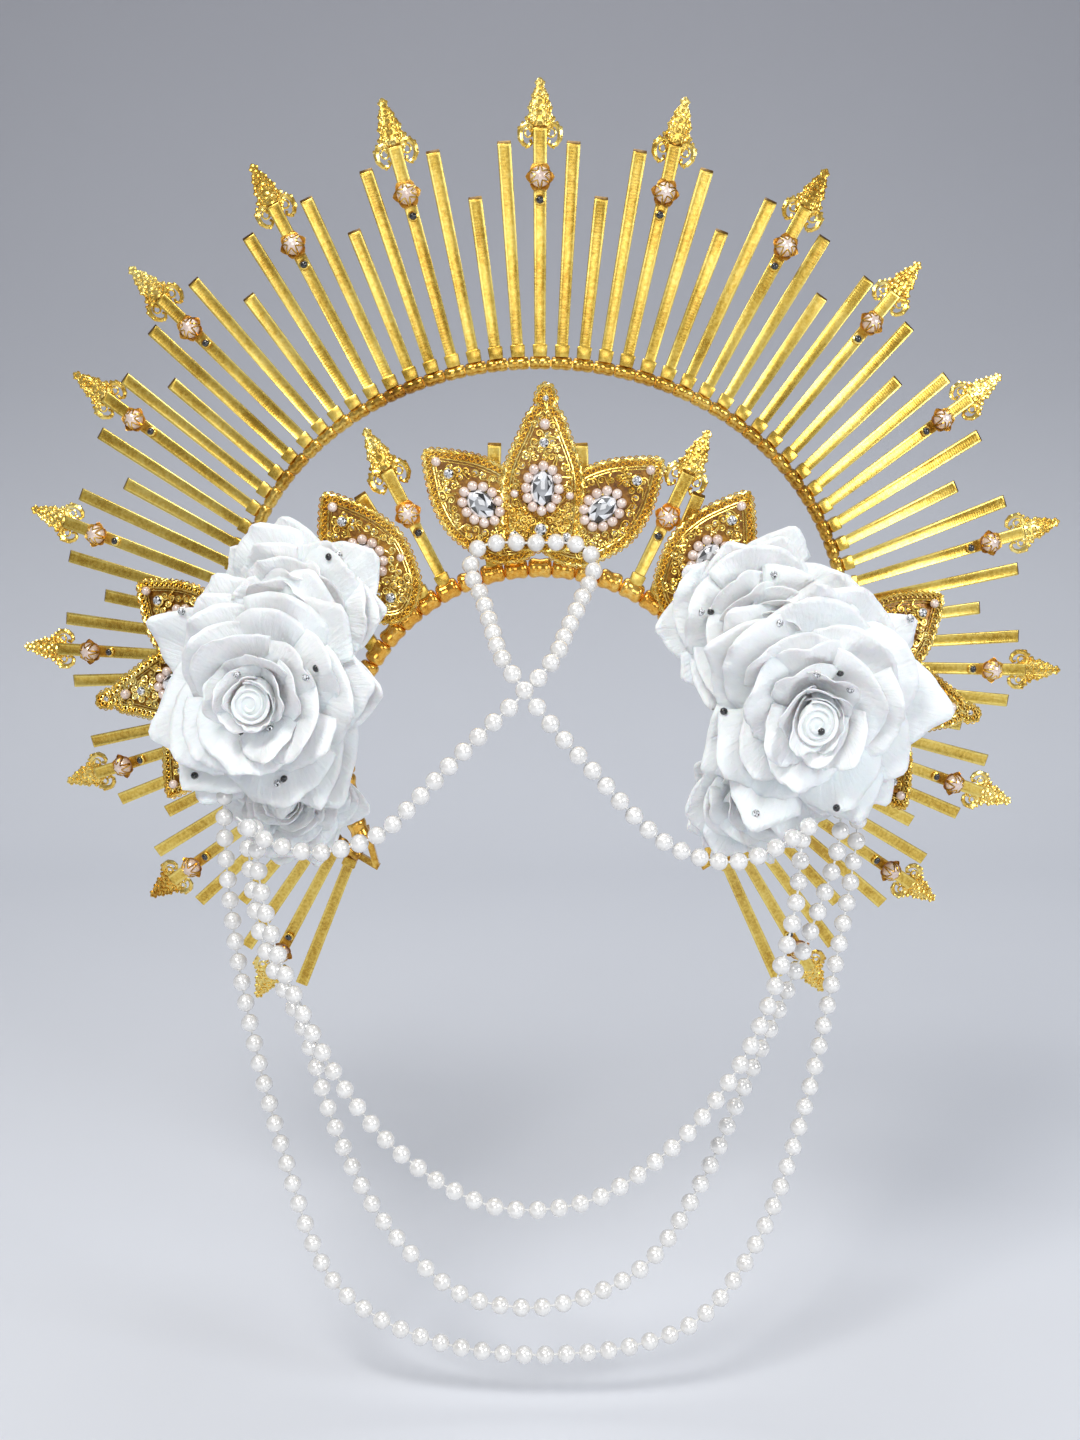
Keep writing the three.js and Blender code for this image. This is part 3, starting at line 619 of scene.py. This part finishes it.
pitch = 2 * band["end"] / band["loops"]
for side, first, final in band["parts"]:
    bm = freshMesh()
    for loop in range(first, final + 1):
        hoopBarrel(bm, bandBarrel, bandAt, loop * pitch, pitch * band["fill"], band["radial"], band["depth"])
        if loop in band["rays"]:
            out, length, laced = band["rays"][loop]
            here = rayFrame(bandAt(loop * pitch), out, 0)
            addTie(bm, here, length - tip["bare"] * tip["length"] if laced else length)
            if laced:
                addFinial(bm, here, length)
    node = "headband_loops_" + side
    finishPiece(camel(node), bm, rayMaterials(bandGold), [node])
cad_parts["headband_core"].material_slots[0].material = bandGold
print("headband made")


crown = {
    "leafOut": 49, "leafShift": 4, "leafBack": 0.25, "spireFront": 0.6,
    "bandFront": band["depth"] + 0.3 + 2,  # seat gap and half the thickness of the solid
}
# outline, pearls and stones as shares of the half width and the length; stone: height and half sizes
spire = {
    "half": [(0.7, 0.02), (0.94, 0.12), (1, 0.36), (0.93, 0.5), (0.76, 0.62), (0.58, 0.72), (0.46, 0.8),
             (0.34, 0.85), (0.17, 0.88), (0.27, 0.915), (0.19, 0.955), (0.13, 1)],
    "stone": (0.385, 7.3, 10.0), "length": 73.5, "halfWidth": 18,
    "pearls": [(0, 0.77, 2.5)], "gems": [(0, 0.66, 2.3), (0, 0.135, 2.9), (0, 0.925, 1.4)],
}
leaf = {
    "half": [(0.22, 0), (0.7, 0.11), (0.9, 0.26), (1, 0.48), (0.82, 0.68), (0.48, 0.85), (0.08, 1)],
    "stone": (0.48, 7.2, 9.4), "length": 64, "halfWidth": 19,
    "pearls": [(0, 0.91, 2.2), (0.72, 0.36, 1.9)], "gems": [(0, 0.79, 2.4), (0, 0.16, 2.4)],
}
lace = {
    "inset": 3.3, "secondInset": 1.25, "cord": 0.42, "cordStep": 1.6,
    "plaitStep": 1.5, "plaitWave": 0.42, "plaitRise": 0.25, "plaitWire": 0.56,
    "picotHalf": 0.8, "picotRise": 1.15, "picotWire": 0.3,
    "ringAt": 0.54, "ringStep": 2.7, "ring": 1.05, "ringWire": 0.34,
    "pitch": 3.5, "skew": 1.12, "columns": 6, "jitter": 0.4,
    "fromCord": 1.2, "fromOval": 3.4, "fromStone": 2.8,
    "scroll": 0.46, "scrollTurn": 480, "scrollShrink": 0.22, "tail": 1.7,
    "backY": 0.9, "backThick": 0.9,
    "gem": (0.8, 3.4, 0.84), "claw": (0.78, 0.82), "clawWire": 0.45, "seed": 2.35, "seedPitch": 4.7,
}
laceSlot = {"lace": 0, "back": 1, "pearl": 2, "stone": 3}
crownTable = [  # node, piece, degrees along the band, height above its middle, outward angle
    ("centre_crown", "crown", 0, 7.8, 2.2), ("leaf_crown_left", "leaf", -42.2, 2.3, -32),
    ("leaf_crown_right", "leaf", 41.3, 1, 31),
]
sideTable = [  # node, degrees along the hoop, outward angle, lean, tilt, how proud of the rays
    ("side_crown_left", -99, -104, 15, 16, 7.1), ("side_crown_right", 101, 106, 15, -16, 6.75),
]


def smoothLoop(points, steps):
    # closed Catmull-Rom through the corner points
    count, made = len(points), []
    for i in range(count):
        a, b, c, d = (points[(i + k) % count] for k in (-1, 0, 1, 2))
        for s in range(steps):
            t = s / steps
            made.append(0.5 * ((2 * b) + (c - a) * t + (2 * a - 5 * b + 4 * c - d) * t * t
                               + (3 * b - a - 3 * c + d) * t ** 3))
    return made


def inside(point, loop):
    hit = False
    for a, b in zip(loop, loop[1:] + loop[:1]):
        if (a.y > point.y) != (b.y > point.y):
            if point.x < (b.x - a.x) * (point.y - a.y) / (b.y - a.y) + a.x:
                hit = not hit
    return hit


def insetLoop(loop, by):
    count, made = len(loop), []
    for i, p in enumerate(loop):
        along = (loop[(i + 1) % count] - loop[i - 1]).normalized()
        made.append(p - Vector((along.y, -along.x)) * by)
    return made


def evenly(loop, step):
    length = sum((b - a).length for a, b in zip(loop, loop[1:] + loop[:1]))
    count = max(round(length / step), 3)
    made, walked = [], 0.0
    for a, b in zip(loop, loop[1:] + loop[:1]):
        part = (b - a).length
        while len(made) < count and walked + part >= len(made) * length / count:
            made.append(a.lerp(b, (len(made) * length / count - walked) / part))
        walked += part
    return made


def put(here, p, y): return here @ vec(p.x, y, p.y)


def freeSpots(spec, loop, side, pick):
    # places for the scrolls: inside the inner cord and clear of the set stones
    length, halfWidth, step = spec["length"], spec["halfWidth"], lace["pitch"]
    up, *radii = spec["stone"]
    rx, rz = (r + lace["fromOval"] for r in radii)
    stones = [Vector((side * x * halfWidth, z * length)) for x, z, r in spec["pearls"] + spec["gems"]]
    spots = []
    for row in range(1, int(length / step) + 1):
        for col in range(-lace["columns"], lace["columns"] + 1):
            spot = Vector(((col + (row % 2) / 2) * step * lace["skew"], row * step))
            spot += Vector([pick.uniform(-lace["jitter"], lace["jitter"]) for axis in range(2)])
            fromOval = Vector((spot.x / rx, (spot.y - up * length) / rz)).length
            if fromOval <= 1 or any((spot - other).length <= lace["fromStone"] for other in stones):
                continue
            edgeGap = min((spot - corner).length for corner in loop)
            if inside(spot, loop) and edgeGap > lace["inset"] + lace["fromCord"]:
                spots.append(spot)
    return spots


def laceBack(bm, here, loop, spots):
    # pierced sheet, filled between the outline and round holes and given its thickness
    edges = []
    start = len(bm.faces)
    rings = [loop]
    for spot in spots[::2]:
        rings.append([spot + onCircle(k * math.pi / 3) for k in range(6)])
    for ring in rings:
        verts = [bm.verts.new(put(here, p, lace["backY"])) for p in ring]
        edges += [bm.edges.new((a, b)) for a, b in zip(verts, verts[1:] + verts[:1])]
    toFront = here.to_3x3() @ vec(0, -1, 0)
    filled = bmesh.ops.triangle_fill(bm, use_beauty=True, use_dissolve=False, edges=edges, normal=toFront)
    faces = [g for g in filled["geom"] if isinstance(g, bmesh.types.BMFace)]
    grown = bmesh.ops.extrude_face_region(bm, geom=faces, use_keep_orig=True)["geom"]
    bmesh.ops.translate(bm, vec=here.to_3x3() @ vec(0, lace["backThick"], 0), verts=onlyVerts(grown))
    bm.faces.ensure_lookup_table()
    bmesh.ops.recalc_face_normals(bm, faces=bm.faces[start:])
    # its front faces take the dark backing gold: painted shade in the gaps between the wires
    for face in bm.faces[start:]:
        face.material_index = laceSlot["back"] if face.normal.dot(toFront) > 0.5 else laceSlot["lace"]


def laceRim(bm, here, loop):
    # plaited rim with two inner cords
    rimLoop = evenly(loop, lace["plaitStep"])
    cords = []
    for way in (-1, 1):
        strand = []
        for i, p in enumerate(rimLoop):
            wave = way * (1 if i % 2 else -1) * lace["plaitWave"]
            rise = 0.1 - lace["plaitRise"] * way * (1 if i % 4 < 2 else -1)
            strand.append((put(here, insetLoop(rimLoop, wave)[i], rise), lace["plaitWire"]))
        cords.append(strand)
    for inset, y, odd, even in [(lace["inset"], -0.2, 1.25, 0.65),
                                (lace["inset"] + lace["secondInset"], 0.1, 0.5, 0.9)]:
        inner = insetLoop(evenly(loop, lace["cordStep"]), inset)
        cords.append([(put(here, p, y), lace["cord"] * (odd if k % 2 else even))
                      for k, p in enumerate(inner)])
    wires(bm, cords, laceSlot["lace"], 1, True)

    # picots outside the rim, small rings between it and the cords
    picots = []
    for a, b in zip(rimLoop[::2], rimLoop[2::2] + rimLoop[:1]):
        middle, along = (a + b) / 2, (b - a) / 2
        away = Vector((along.y, -along.x)).normalized()
        picot = []
        for t in [math.pi * k / 4 for k in range(5)]:
            far = 0.3 + lace["picotRise"] * math.sin(t)
            at = middle - along * math.cos(t) * lace["picotHalf"] + away * far
            picot.append((put(here, at, 0.35), lace["picotWire"]))
        picots.append(picot)
    for p in evenly(insetLoop(loop, lace["inset"] * lace["ringAt"]), lace["ringStep"]):
        picots.append([(put(here, p + onCircle(2 * math.pi * k / 7, lace["ring"], lace["ring"]), 0.1),
                        lace["ringWire"]) for k in range(8)])
    wires(bm, picots, laceSlot["lace"], 0)


def laceScrolls(bm, here, spots, pick):
    # a scroll on every free spot, small grains between them
    scrolls = []
    for spot in spots:
        way = pick.choice((-1, 1))
        begin = pick.uniform(0, 360)
        reach = pick.uniform(1.75, 2.25)
        rise = pick.uniform(-0.75, -0.15)
        end = begin + way * lace["scrollTurn"]
        path = arc(spot.x, spot.y, reach, begin, end, rise, lace["scroll"], 11, lace["scrollShrink"])
        far = spot + onCircle(math.radians(begin) - 0.5 * way) * (reach + lace["tail"])
        path.insert(0, (vec(far.x, 0.3, far.y), lace["scroll"] * 0.8))
        scrolls.append([(here @ at, r) for at, r in path])
        for x, y, z, biggest in [(spot.x, rise - 0.35, spot.y, 0.75), (far.x, -0.3, far.y, 0.8)]:
            r = pick.uniform(0.5, biggest)
            stamp(bm, grainBall, here @ move(x, y, z) @ evenSize(r), laceSlot["lace"])
    wires(bm, scrolls, laceSlot["lace"], 1)


def laceStones(bm, here, spec, side):
    # oval stone in a claw rim, ringed by pearls; then the single pearls and stones
    length, halfWidth = spec["length"], spec["halfWidth"]
    up, rx, rz = spec["stone"]
    centre = Vector((0, up * length))
    wide, high, tall = lace["gem"]
    place = here @ move(centre.x, -0.9, centre.y)
    stamp(bm, gem, place @ size(rx * wide, high, rz * tall), laceSlot["stone"])
    wide, tall = lace["claw"]
    claw = [centre + onCircle(2 * math.pi * k / 20, rx * wide, rz * tall) for k in range(20)]
    wires(bm, [[(put(here, p, -0.9), lace["clawWire"]) for p in claw]], laceSlot["lace"], 1, True)
    ring = [onCircle(k * math.pi / 60, rx, rz) for k in range(120)]
    for p in evenly(ring, lace["seedPitch"]):
        p = centre + p
        stamp(bm, pearl, here @ move(p.x, -1.7, p.y) @ evenSize(lace["seed"]), laceSlot["pearl"])
    for x, z, r in spec["pearls"]:
        bead = here @ move(side * x * halfWidth, -r * 0.8, z * length) @ evenSize(r)
        stamp(bm, pearl, bead, laceSlot["pearl"])
    for x, z, r in spec["gems"]:
        x, z = x * halfWidth, z * length
        stamp(bm, pearl, here @ move(x, -0.1, z) @ size(r * 1.28, 0.9, r * 1.28), laceSlot["lace"])
        stamp(bm, gem, here @ move(x, -0.9, z) @ size(r, 1.6, r), laceSlot["stone"])


def lacePanel(bm, here, spec, seed, side=1):
    pick = random.Random(seed)
    half = [Vector((x * spec["halfWidth"], z * spec["length"])) for x, z in spec["half"]]
    loop = smoothLoop(half + [Vector((-p.x, p.y)) for p in reversed(half)], 5)
    spots = freeSpots(spec, loop, side, pick)
    laceBack(bm, here, loop, spots)
    laceRim(bm, here, loop)
    laceScrolls(bm, here, spots, pick)
    laceStones(bm, here, spec, side)


def namedCrown(node, here, kind, seed):
    bm = freshMesh()
    if kind == "leaf":
        lacePanel(bm, here, leaf, seed)
    else:
        for side in (-1, 1):
            foot = here @ move(side * crown["leafShift"], crown["leafBack"], 0)
            lacePanel(bm, foot @ turn(side * crown["leafOut"], "Y"), leaf, seed + 2 + side, -side)
        lacePanel(bm, here @ move(0, -crown["spireFront"], 0), spire, seed)
    finishPiece(camel(node), bm, [laceGold, shadedBackGold, blushPearl, cutStone], [node])


for number, (node, kind, along, rise, out) in enumerate(crownTable):
    place = bandAt(along) + outward(along) * rise - vec(0, crown["bandFront"], 0)
    namedCrown(node, rayFrame(place, out, 0), kind, 10 + number)
for number, (node, along, out, lean, tilt, proud) in enumerate(sideTable):
    here = rayFrame(hoopAt(along), out, lean) @ turn(tilt, "Z") @ move(0, -proud, 0)
    namedCrown(node, here, "crown", 30 + number)
print("crown pieces made")


roseTable = [
    # node, centre of its back, radius, depth, pan, tilt, lean of its bud, seed, where its stem is bound
    ("rose_left_front", (-121, -24, -48), 54, 40, -12, 2, (5, -4), 1, None),
    ("rose_left_back", (-109, -10, -16), 42, 32, -8, 8, (-6, -6), 2, -62),
    ("rose_left_low", (-112, -12, -98), 32, 26, -6, -12, (0, 6), 3, -98),
    ("rose_right_front", (122, -24, -52), 57, 40, 12, 2, (-14, -10), 4, None),
    ("rose_right_back", (97, -10, -21), 42, 32, 4, 8, (8, -8), 5, 64),
    ("rose_right_low", (96, -12, -98), 32, 26, 6, -12, (6, 6), 6, 98),
]
stem = {"radius": 2.4, "inFront": 5, "gap": 0.7}
roseShape = {
    # count, tip radius, tip height, base height, half angle, fold of the edge, how pointed the petal is
    "layers": [(7, 1.10, 0.20, 0.02, 33, 0.03, 1.0), (6, 1.01, 0.40, 0.06, 40, 0.08, 1.0),
               (5, 0.88, 0.56, 0.12, 46, 0.16, 0.8), (5, 0.71, 0.70, 0.19, 48, 0.20, 0.6),
               (4, 0.54, 0.81, 0.27, 58, 0.19, 0.4), (4, 0.40, 0.88, 0.36, 60, 0.14, 0.3),
               (3, 0.28, 0.90, 0.42, 74, 0.10, 0.1), (3, 0.19, 0.89, 0.46, 80, 0.06, 0.1)],
    "across": 22, "up": 14, "thick": 0.5, "crinkle": 0.055, "foot": 0.42, "foldFrom": 0.9, "foldOver": 0.4,
}


def roseFrame(at, pan, tilt):
    p, t = math.radians(pan), math.radians(tilt)
    face = vec(math.sin(p), -math.cos(p) * math.cos(t), math.sin(t)).normalized()
    across = -(vec(0, 0, 1).cross(face)).normalized()
    return axesAt(at, across, face.cross(across), face)


def clothGrid(bm, across, up):
    # flat sheet from -1 to 1 whose UV map runs from 0 to 1
    grid = bmesh.ops.create_grid(bm, x_segments=across, y_segments=up, size=1.0)["verts"]
    layer = bm.loops.layers.uv["wrap"]
    for v in grid:
        for loop in v.link_loops:
            loop[layer].uv = ((v.co.x + 1) / 2, (v.co.y + 1) / 2)
    return grid


def petal(bm, layer, theta, radius, depth, pick):
    _, tipOut, tipUp, baseUp, halfAngle, fold, pointed = layer
    grid = clothGrid(bm, roseShape["across"], roseShape["up"])
    wide = math.radians(halfAngle * pick.uniform(0.88, 1.12))
    reach = tipOut * pick.uniform(0.9, 1.04)
    rise = tipUp * pick.uniform(0.92, 1.06)
    lift = pick.uniform(-0.09, 0.09)
    tipAt = pick.uniform(-0.5, 0.5)
    sharp = 1.7 - pointed * pick.uniform(0.75, 1.0)
    drop = pick.uniform(0.24, 0.34) + 0.12 * pointed
    slant = pick.uniform(0.3, 0.7)
    shift = pick.uniform(0, 90)
    foldHere = fold * pick.uniform(0.6, 1.4)
    curl = pick.uniform(-0.04, 0.10) * pointed
    waves, phase = pick.uniform(2.5, 5.0), pick.uniform(0, 6)
    for v in grid:
        u, t = v.co.x, (v.co.y + 1) / 2
        far = abs(u - tipAt) / (1 + abs(tipAt))
        nip = max(1 - far / 0.22, 0) ** 2 * t ** 4
        share = t * (1 - drop * far ** sharp) + 0.05 * pointed * nip
        width = roseShape["foot"] + (1 - roseShape["foot"]) * math.sin(min(t / 0.7, 1) * math.pi / 2)
        # side view of the petal: out along the back, then up
        out = 0.10 + (reach - 0.10) * (1 - max(1 - share, 0) ** (1.3 - 0.22 * pointed))
        up = baseUp + (rise - baseUp) * share ** 1.8
        # its edge folds back along two slanting lines that meet at the tip
        edge = max(t + slant * far - roseShape["foldFrom"], 0) / roseShape["foldOver"]
        up -= foldHere * edge ** 1.5 - curl * nip
        out += foldHere * 0.25 * math.sin(min(edge, 1.2) * 2.2)
        up += lift * u * t + 0.03 * math.sin(u * waves + phase) * t ** 2.5
        angle = theta + u * width * wide
        place = vec(1.3 * u * width + shift, 1.4 * t, theta)
        dent = noise.noise(place)
        crease = 0.5 - abs(noise.noise(place * 2.1 + vec(9, 4, 2)))
        ruffle = noise.noise(place * 5.5 + vec(3, 8, 5)) * t ** 3
        wave = roseShape["crinkle"] * (1.4 * dent + crease - 0.3 + 0.45 * ruffle) * (0.15 + t)
        r = (out + wave * 0.5) * radius
        v.co = vec(r * math.cos(angle), r * math.sin(angle), (up + wave * 1.3) * depth)


bud = {"turns": 2.8, "inner": 0.012, "wider": 0.15, "foot": 0.45, "high": 0.42, "ripple": 0.025}


def roseBud(bm, radius, depth):
    # one rolled sheet with a filling between its turns
    grid = clothGrid(bm, 72, 9)
    filling = bmesh.ops.create_uvsphere(bm, u_segments=20, v_segments=10, radius=1.0)["verts"]
    bmesh.ops.transform(bm, matrix=move(0, 0, 0.73 * depth) @ size(0.15 * radius, 0.15 * radius, 0.1 * depth),
                        verts=filling)
    for v in grid:
        s, t = (v.co.x + 1) / 2, (v.co.y + 1) / 2
        angle = 2 * math.pi * bud["turns"] * s
        wobble = noise.noise(vec(s * 9, t * 2, 3)) * bud["ripple"]
        rim = max(t - 0.8, 0) / 0.2
        out = bud["inner"] + bud["wider"] * s + 0.022 * rim ** 2 + wobble
        up = bud["foot"] + (bud["high"] - 0.02 * s + wobble) * t - 0.02 * rim ** 3
        v.co = vec(out * radius * math.cos(angle), out * radius * math.sin(angle), up * depth)


def roseStem(bm, at, along):
    # bound stem from inside the rose's back to the outer side of the band
    start = Vector(at) - vec(0, stem["inFront"], 0)
    end = bandAt(along) + outward(along) * (band["radial"] + stem["gap"])
    coils = [(start.lerp(end, k / 24), stem["radius"] * (1 if k % 2 else 0.86)) for k in range(25)]
    wires(bm, [coils], 1, 3)


def rose(node, at, radius, depth, pan, tilt, lean, seed, along):
    pick = random.Random(seed)
    bm = freshMesh()
    turnBy = pick.uniform(0, 360)
    for layer in roseShape["layers"]:
        turnBy += 37  # each layer covers the gaps of the one outside it
        for k in range(layer[0]):
            theta = math.radians(turnBy + 360 * k / layer[0] + pick.uniform(-11, 11))
            petal(bm, layer, theta, radius, depth, pick)
    roseBud(bm, radius, depth)
    for v in bm.verts:
        share = min(max(v.co.z / depth, 0), 1) ** 1.4
        v.co.x -= lean[0] * share
        v.co.y -= lean[1] * share
    bmesh.ops.recalc_face_normals(bm, faces=bm.faces)
    bmesh.ops.transform(bm, matrix=roseFrame(at, pan, tilt), verts=bm.verts)
    tree = BVHTree.FromBMesh(bm)
    if along is not None:
        roseStem(bm, at, along)
    made = finishPiece(camel(node), bm, [petalCloth, whiteThread], [node], 60)
    cloth = made.modifiers.new("thickness", "SOLIDIFY")
    cloth.thickness = roseShape["thick"] * mm
    cloth.offset = 0
    return tree


trees = {row[0]: rose(*row) for row in roseTable}
roseGems = {  # across and up from the rose's centre, seen from the front, in mm
    "rose_left_front": [(-10, 10), (-9, -16), (4, -14), (25, 13), (21, 10), (9, -37), (6, -39), (-33, -38),
                        (-38, 35)],
    "rose_left_back": [(20, 28), (16, 27), (-38, 18)],
    "rose_right_front": [(-4, 16), (9, 14), (12, 8), (-2, -9), (-1, -15), (-42, -3), (-28, -47), (8, -45),
                         (42, 36), (46, 31), (-19, 36)],
    "rose_right_back": [(-26, 8), (-21, 8), (7, 24)],
}
bm = freshMesh()
for node, spots in roseGems.items():
    centre = next(row[1] for row in roseTable if row[0] == node)
    for number, (x, z) in enumerate(spots):
        before = vec(centre[0] + x, -140, centre[2] + z)
        hit, normal, _, _ = trees[node].ray_cast(before, vec(0, 1, 0))
        if hit is None:
            continue
        if normal.y > 0:
            normal = -normal
        aim = vec(0, -1, 0).rotation_difference(normal).to_matrix().to_4x4()
        stamp(bm, smallBall, move(*hit) @ aim @ size(1.9, 0.8, 1.9), 1)
        stamp(bm, gem, move(*hit) @ aim @ move(0, -0.6, 0) @ size(1.75, 1.3, 1.75), 2 * (number % 2))
finishPiece("roseStones", bm, [cutStone, whitePearl, smokyStone])  # clear and smoky by turns
print("roses made")


string = {"pearl": 8.0, "thread": 0.5, "festoonPitch": 8.9, "strandPitch": 9.4, "closest": 0.93}
festoonLeft = [
    (-132, -52, -100), (-118, -58, -109), (-98, -63, -113), (-82, -66, -110), (-66, -70, -102),
    (-52, -73, -88), (-37, -75, -72), (-20, -76, -55), (-6, -73, -42), (6, -64, -29), (11, -50, -20),
    (18, -33, -7), (24, -17, 6), (21, -12, 14), (12, -11.1, 16.5),
]
festoonRight = [
    (120, -52, -102), (104, -58, -111), (86, -63, -117), (70, -66, -115), (53, -70, -107), (38, -73, -93),
    (22, -75, -75), (6, -76, -57), (-6, -73, -42), (-16, -64, -29), (-20, -50, -20), (-25, -33, -7),
    (-31, -17, 6), (-28, -12, 14), (-19, -11.1, 16.5), (-4, -11.1, 16.5), (12, -11.1, 16.5),
]
strandTable = {
    "strand_short": [
        (-125.6, -42.5, -103), (-122, -50, -136), (-111, -58, -170), (-83, -68, -221), (-54, -73, -251),
        (-19, -77, -268), (22, -77, -265), (57, -73, -243), (78, -68, -221), (95, -62, -194),
        (111, -53, -145), (117, -36.5, -106)],
    "strand_middle": [
        (-131, -36, -104), (-124, -41, -158), (-105, -48, -198), (-91, -55, -241), (-70, -62, -281),
        (-38, -67, -312), (-17, -69, -318), (6, -69, -318), (45, -66, -302), (71, -61, -265), (90, -53, -224),
        (118, -42, -161), (134, -32, -114), (134, -26, -95)],
    "strand_long": [
        (-141.5, -26, -92), (-141.5, -28.5, -118), (-135, -35, -177), (-117, -45, -253), (-95, -58, -309),
        (-73, -66, -325), (-43, -71, -335), (-12, -73, -339), (10, -73, -339), (42, -71, -336),
        (71, -66, -326), (98, -55, -294), (118, -45, -240), (133, -35, -172), (143, -26, -110),
        (142.5, -23.2, -90)],
}


def smoothPath(points, steps=24):
    # centripetal Catmull-Rom through the route's points
    points = [Vector(p) for p in points]
    points = [2 * points[0] - points[1]] + points + [2 * points[-1] - points[-2]]
    made = []
    for a, b, c, d in zip(points, points[1:], points[2:], points[3:]):
        t0, t1, t2 = ((q - p).length ** 0.5 for p, q in [(a, b), (b, c), (c, d)])
        leave = ((b - a) / t0 - (c - a) / (t0 + t1) + (c - b) / t1) * t1
        arrive = ((c - b) / t1 - (d - b) / (t1 + t2) + (d - c) / t2) * t1
        for s in range(steps):
            t = s / steps
            made.append(b * (2 * t ** 3 - 3 * t ** 2 + 1) + leave * (t ** 3 - 2 * t ** 2 + t)
                        + c * (3 * t ** 2 - 2 * t ** 3) + arrive * (t ** 3 - t ** 2))
    return made + [points[-2]]


def spaced(path, step, start):
    made, walked, target = [], 0.0, start
    for a, b in zip(path, path[1:]):
        length = (b - a).length
        while walked + length >= target:
            made.append(a.lerp(b, (target - walked) / length))
            target += step
        walked += length
    return made


def beadString(node, route, step):
    bm = freshMesh()
    r = string["pearl"] / 2
    placed = []
    pick = random.Random(len(node))
    path = smoothPath(route)
    wires(bm, [[(p, string["thread"]) for p in path[:-2:3] + [path[-1]]]], 1)
    for at in spaced(path, step, r):
        if all((at - other).length > string["pearl"] * string["closest"] for other in placed):
            placed.append(at)
            spin = turn(pick.uniform(0, 360), "Z") @ turn(pick.uniform(0, 90), "X")
            stamp(bm, ball, move(*at) @ spin @ evenSize(r), 0)
    finishPiece(camel(node), bm, [whitePearl, whiteThread], [node], 80)


beadString("forehead_festoon", festoonRight + festoonLeft[-2::-1], string["festoonPitch"])
for node, route in strandTable.items():
    beadString(node, route, string["strandPitch"])
print("strings of pearls made")


studio = {"floorZ": -0.362, "rear": 0.9, "bend": 0.6, "half": 3.2, "front": -2.2, "high": 2.6}
bm = bmesh.new()
bmesh.ops.create_grid(bm, x_segments=1, y_segments=1, size=studio["half"])
for v in bm.verts:
    v.co.y = studio["front"] if v.co.y < 0 else studio["rear"]
    v.co.z = studio["floorZ"]
rear = [e for e in bm.edges if all(v.co.y > 0 for v in e.verts)]
bendAt = (0, studio["rear"], studio["floorZ"] + studio["bend"])
curved = bmesh.ops.spin(bm, geom=rear, cent=bendAt, axis=(1, 0, 0), dvec=(0, 0, 0), angle=math.radians(90),
                        steps=16, use_merge=False)
top = [g for g in curved["geom_last"] if isinstance(g, bmesh.types.BMEdge)]
raised = bmesh.ops.extrude_edge_only(bm, edges=top)["geom"]
bmesh.ops.translate(bm, vec=(0, 0, studio["high"]), verts=onlyVerts(raised))
floorMesh = asMesh(bm, "floor")
floorMesh.shade_smooth()
paper = Finish("floor_paper", {"Specular IOR Level": 0.15})
place = paper.node("ShaderNodeTexCoord", out="Object")
height = paper.node("ShaderNodeSeparateXYZ", None, {"Vector": place}, out="Z")
# the paper grows darker the higher it rises: painted shade; the faint noise is random tone
shade = (height + 0.36) * 0.7 + (paper.noise(2.5, 3.0) - 0.5) * 0.06
paintedShadeGreys = [(0.0, (0.76, 0.78, 0.83)), (0.35, (0.50, 0.51, 0.55)), (0.9, (0.30, 0.30, 0.33))]
paper.feed("Base Color", paper.ramp(shade, paintedShadeGreys))
paper.feed("Roughness", 0.85 + shade * 0.1)
floorMesh.materials.append(paper.material)
floor = addObject("floor", floorMesh)

lights = {  # place, energy, size, colour
    "keyLight": ((-0.55, -1.0, 1.35), 20, 0.7, (1.0, 0.985, 0.95)),
    "sideLight": ((1.25, -0.9, 0.55), 9, 0.6, (0.95, 0.975, 1.0)),
    "frontLight": ((0.1, -2.0, 0.35), 6, 0.9, (1.0, 0.99, 0.97)),
    "backLight": ((0.0, 0.75, 1.7), 10, 1.2, (0.96, 0.98, 1.0)),
}
for name, (place, energy, across, colour) in lights.items():
    lamp = bpy.data.lights.new(name, "AREA")
    lamp.energy = energy
    lamp.size = across
    lamp.color = colour
    holder = addObject(name, lamp)
    holder.location = place
    aim = Vector((0, 0, -0.05)) - Vector(place)
    holder.rotation_euler = aim.to_track_quat("-Z", "Y").to_euler()
world = bpy.data.worlds.new("studio")
world.use_nodes = True
sky = world.node_tree.nodes["Background"]
sky.inputs["Color"].default_value = (0.80, 0.84, 0.92, 1)
sky.inputs["Strength"].default_value = 0.3
bpy.context.scene.world = world

view = {"place": (0, -0.80026, 0.06133), "down": 81, "lens": 43.956, "sensor": 36}
camera = bpy.data.cameras.new("camera")
camera.lens = view["lens"]
camera.sensor_width = view["sensor"]
camera.clip_start = 0.01
cameraObject = addObject("camera", camera)
cameraObject.location = view["place"]
cameraObject.rotation_euler = (math.radians(view["down"]), 0, 0)
bpy.context.scene.camera = cameraObject
bpy.context.scene.view_settings.view_transform = "Standard"
print("studio made")
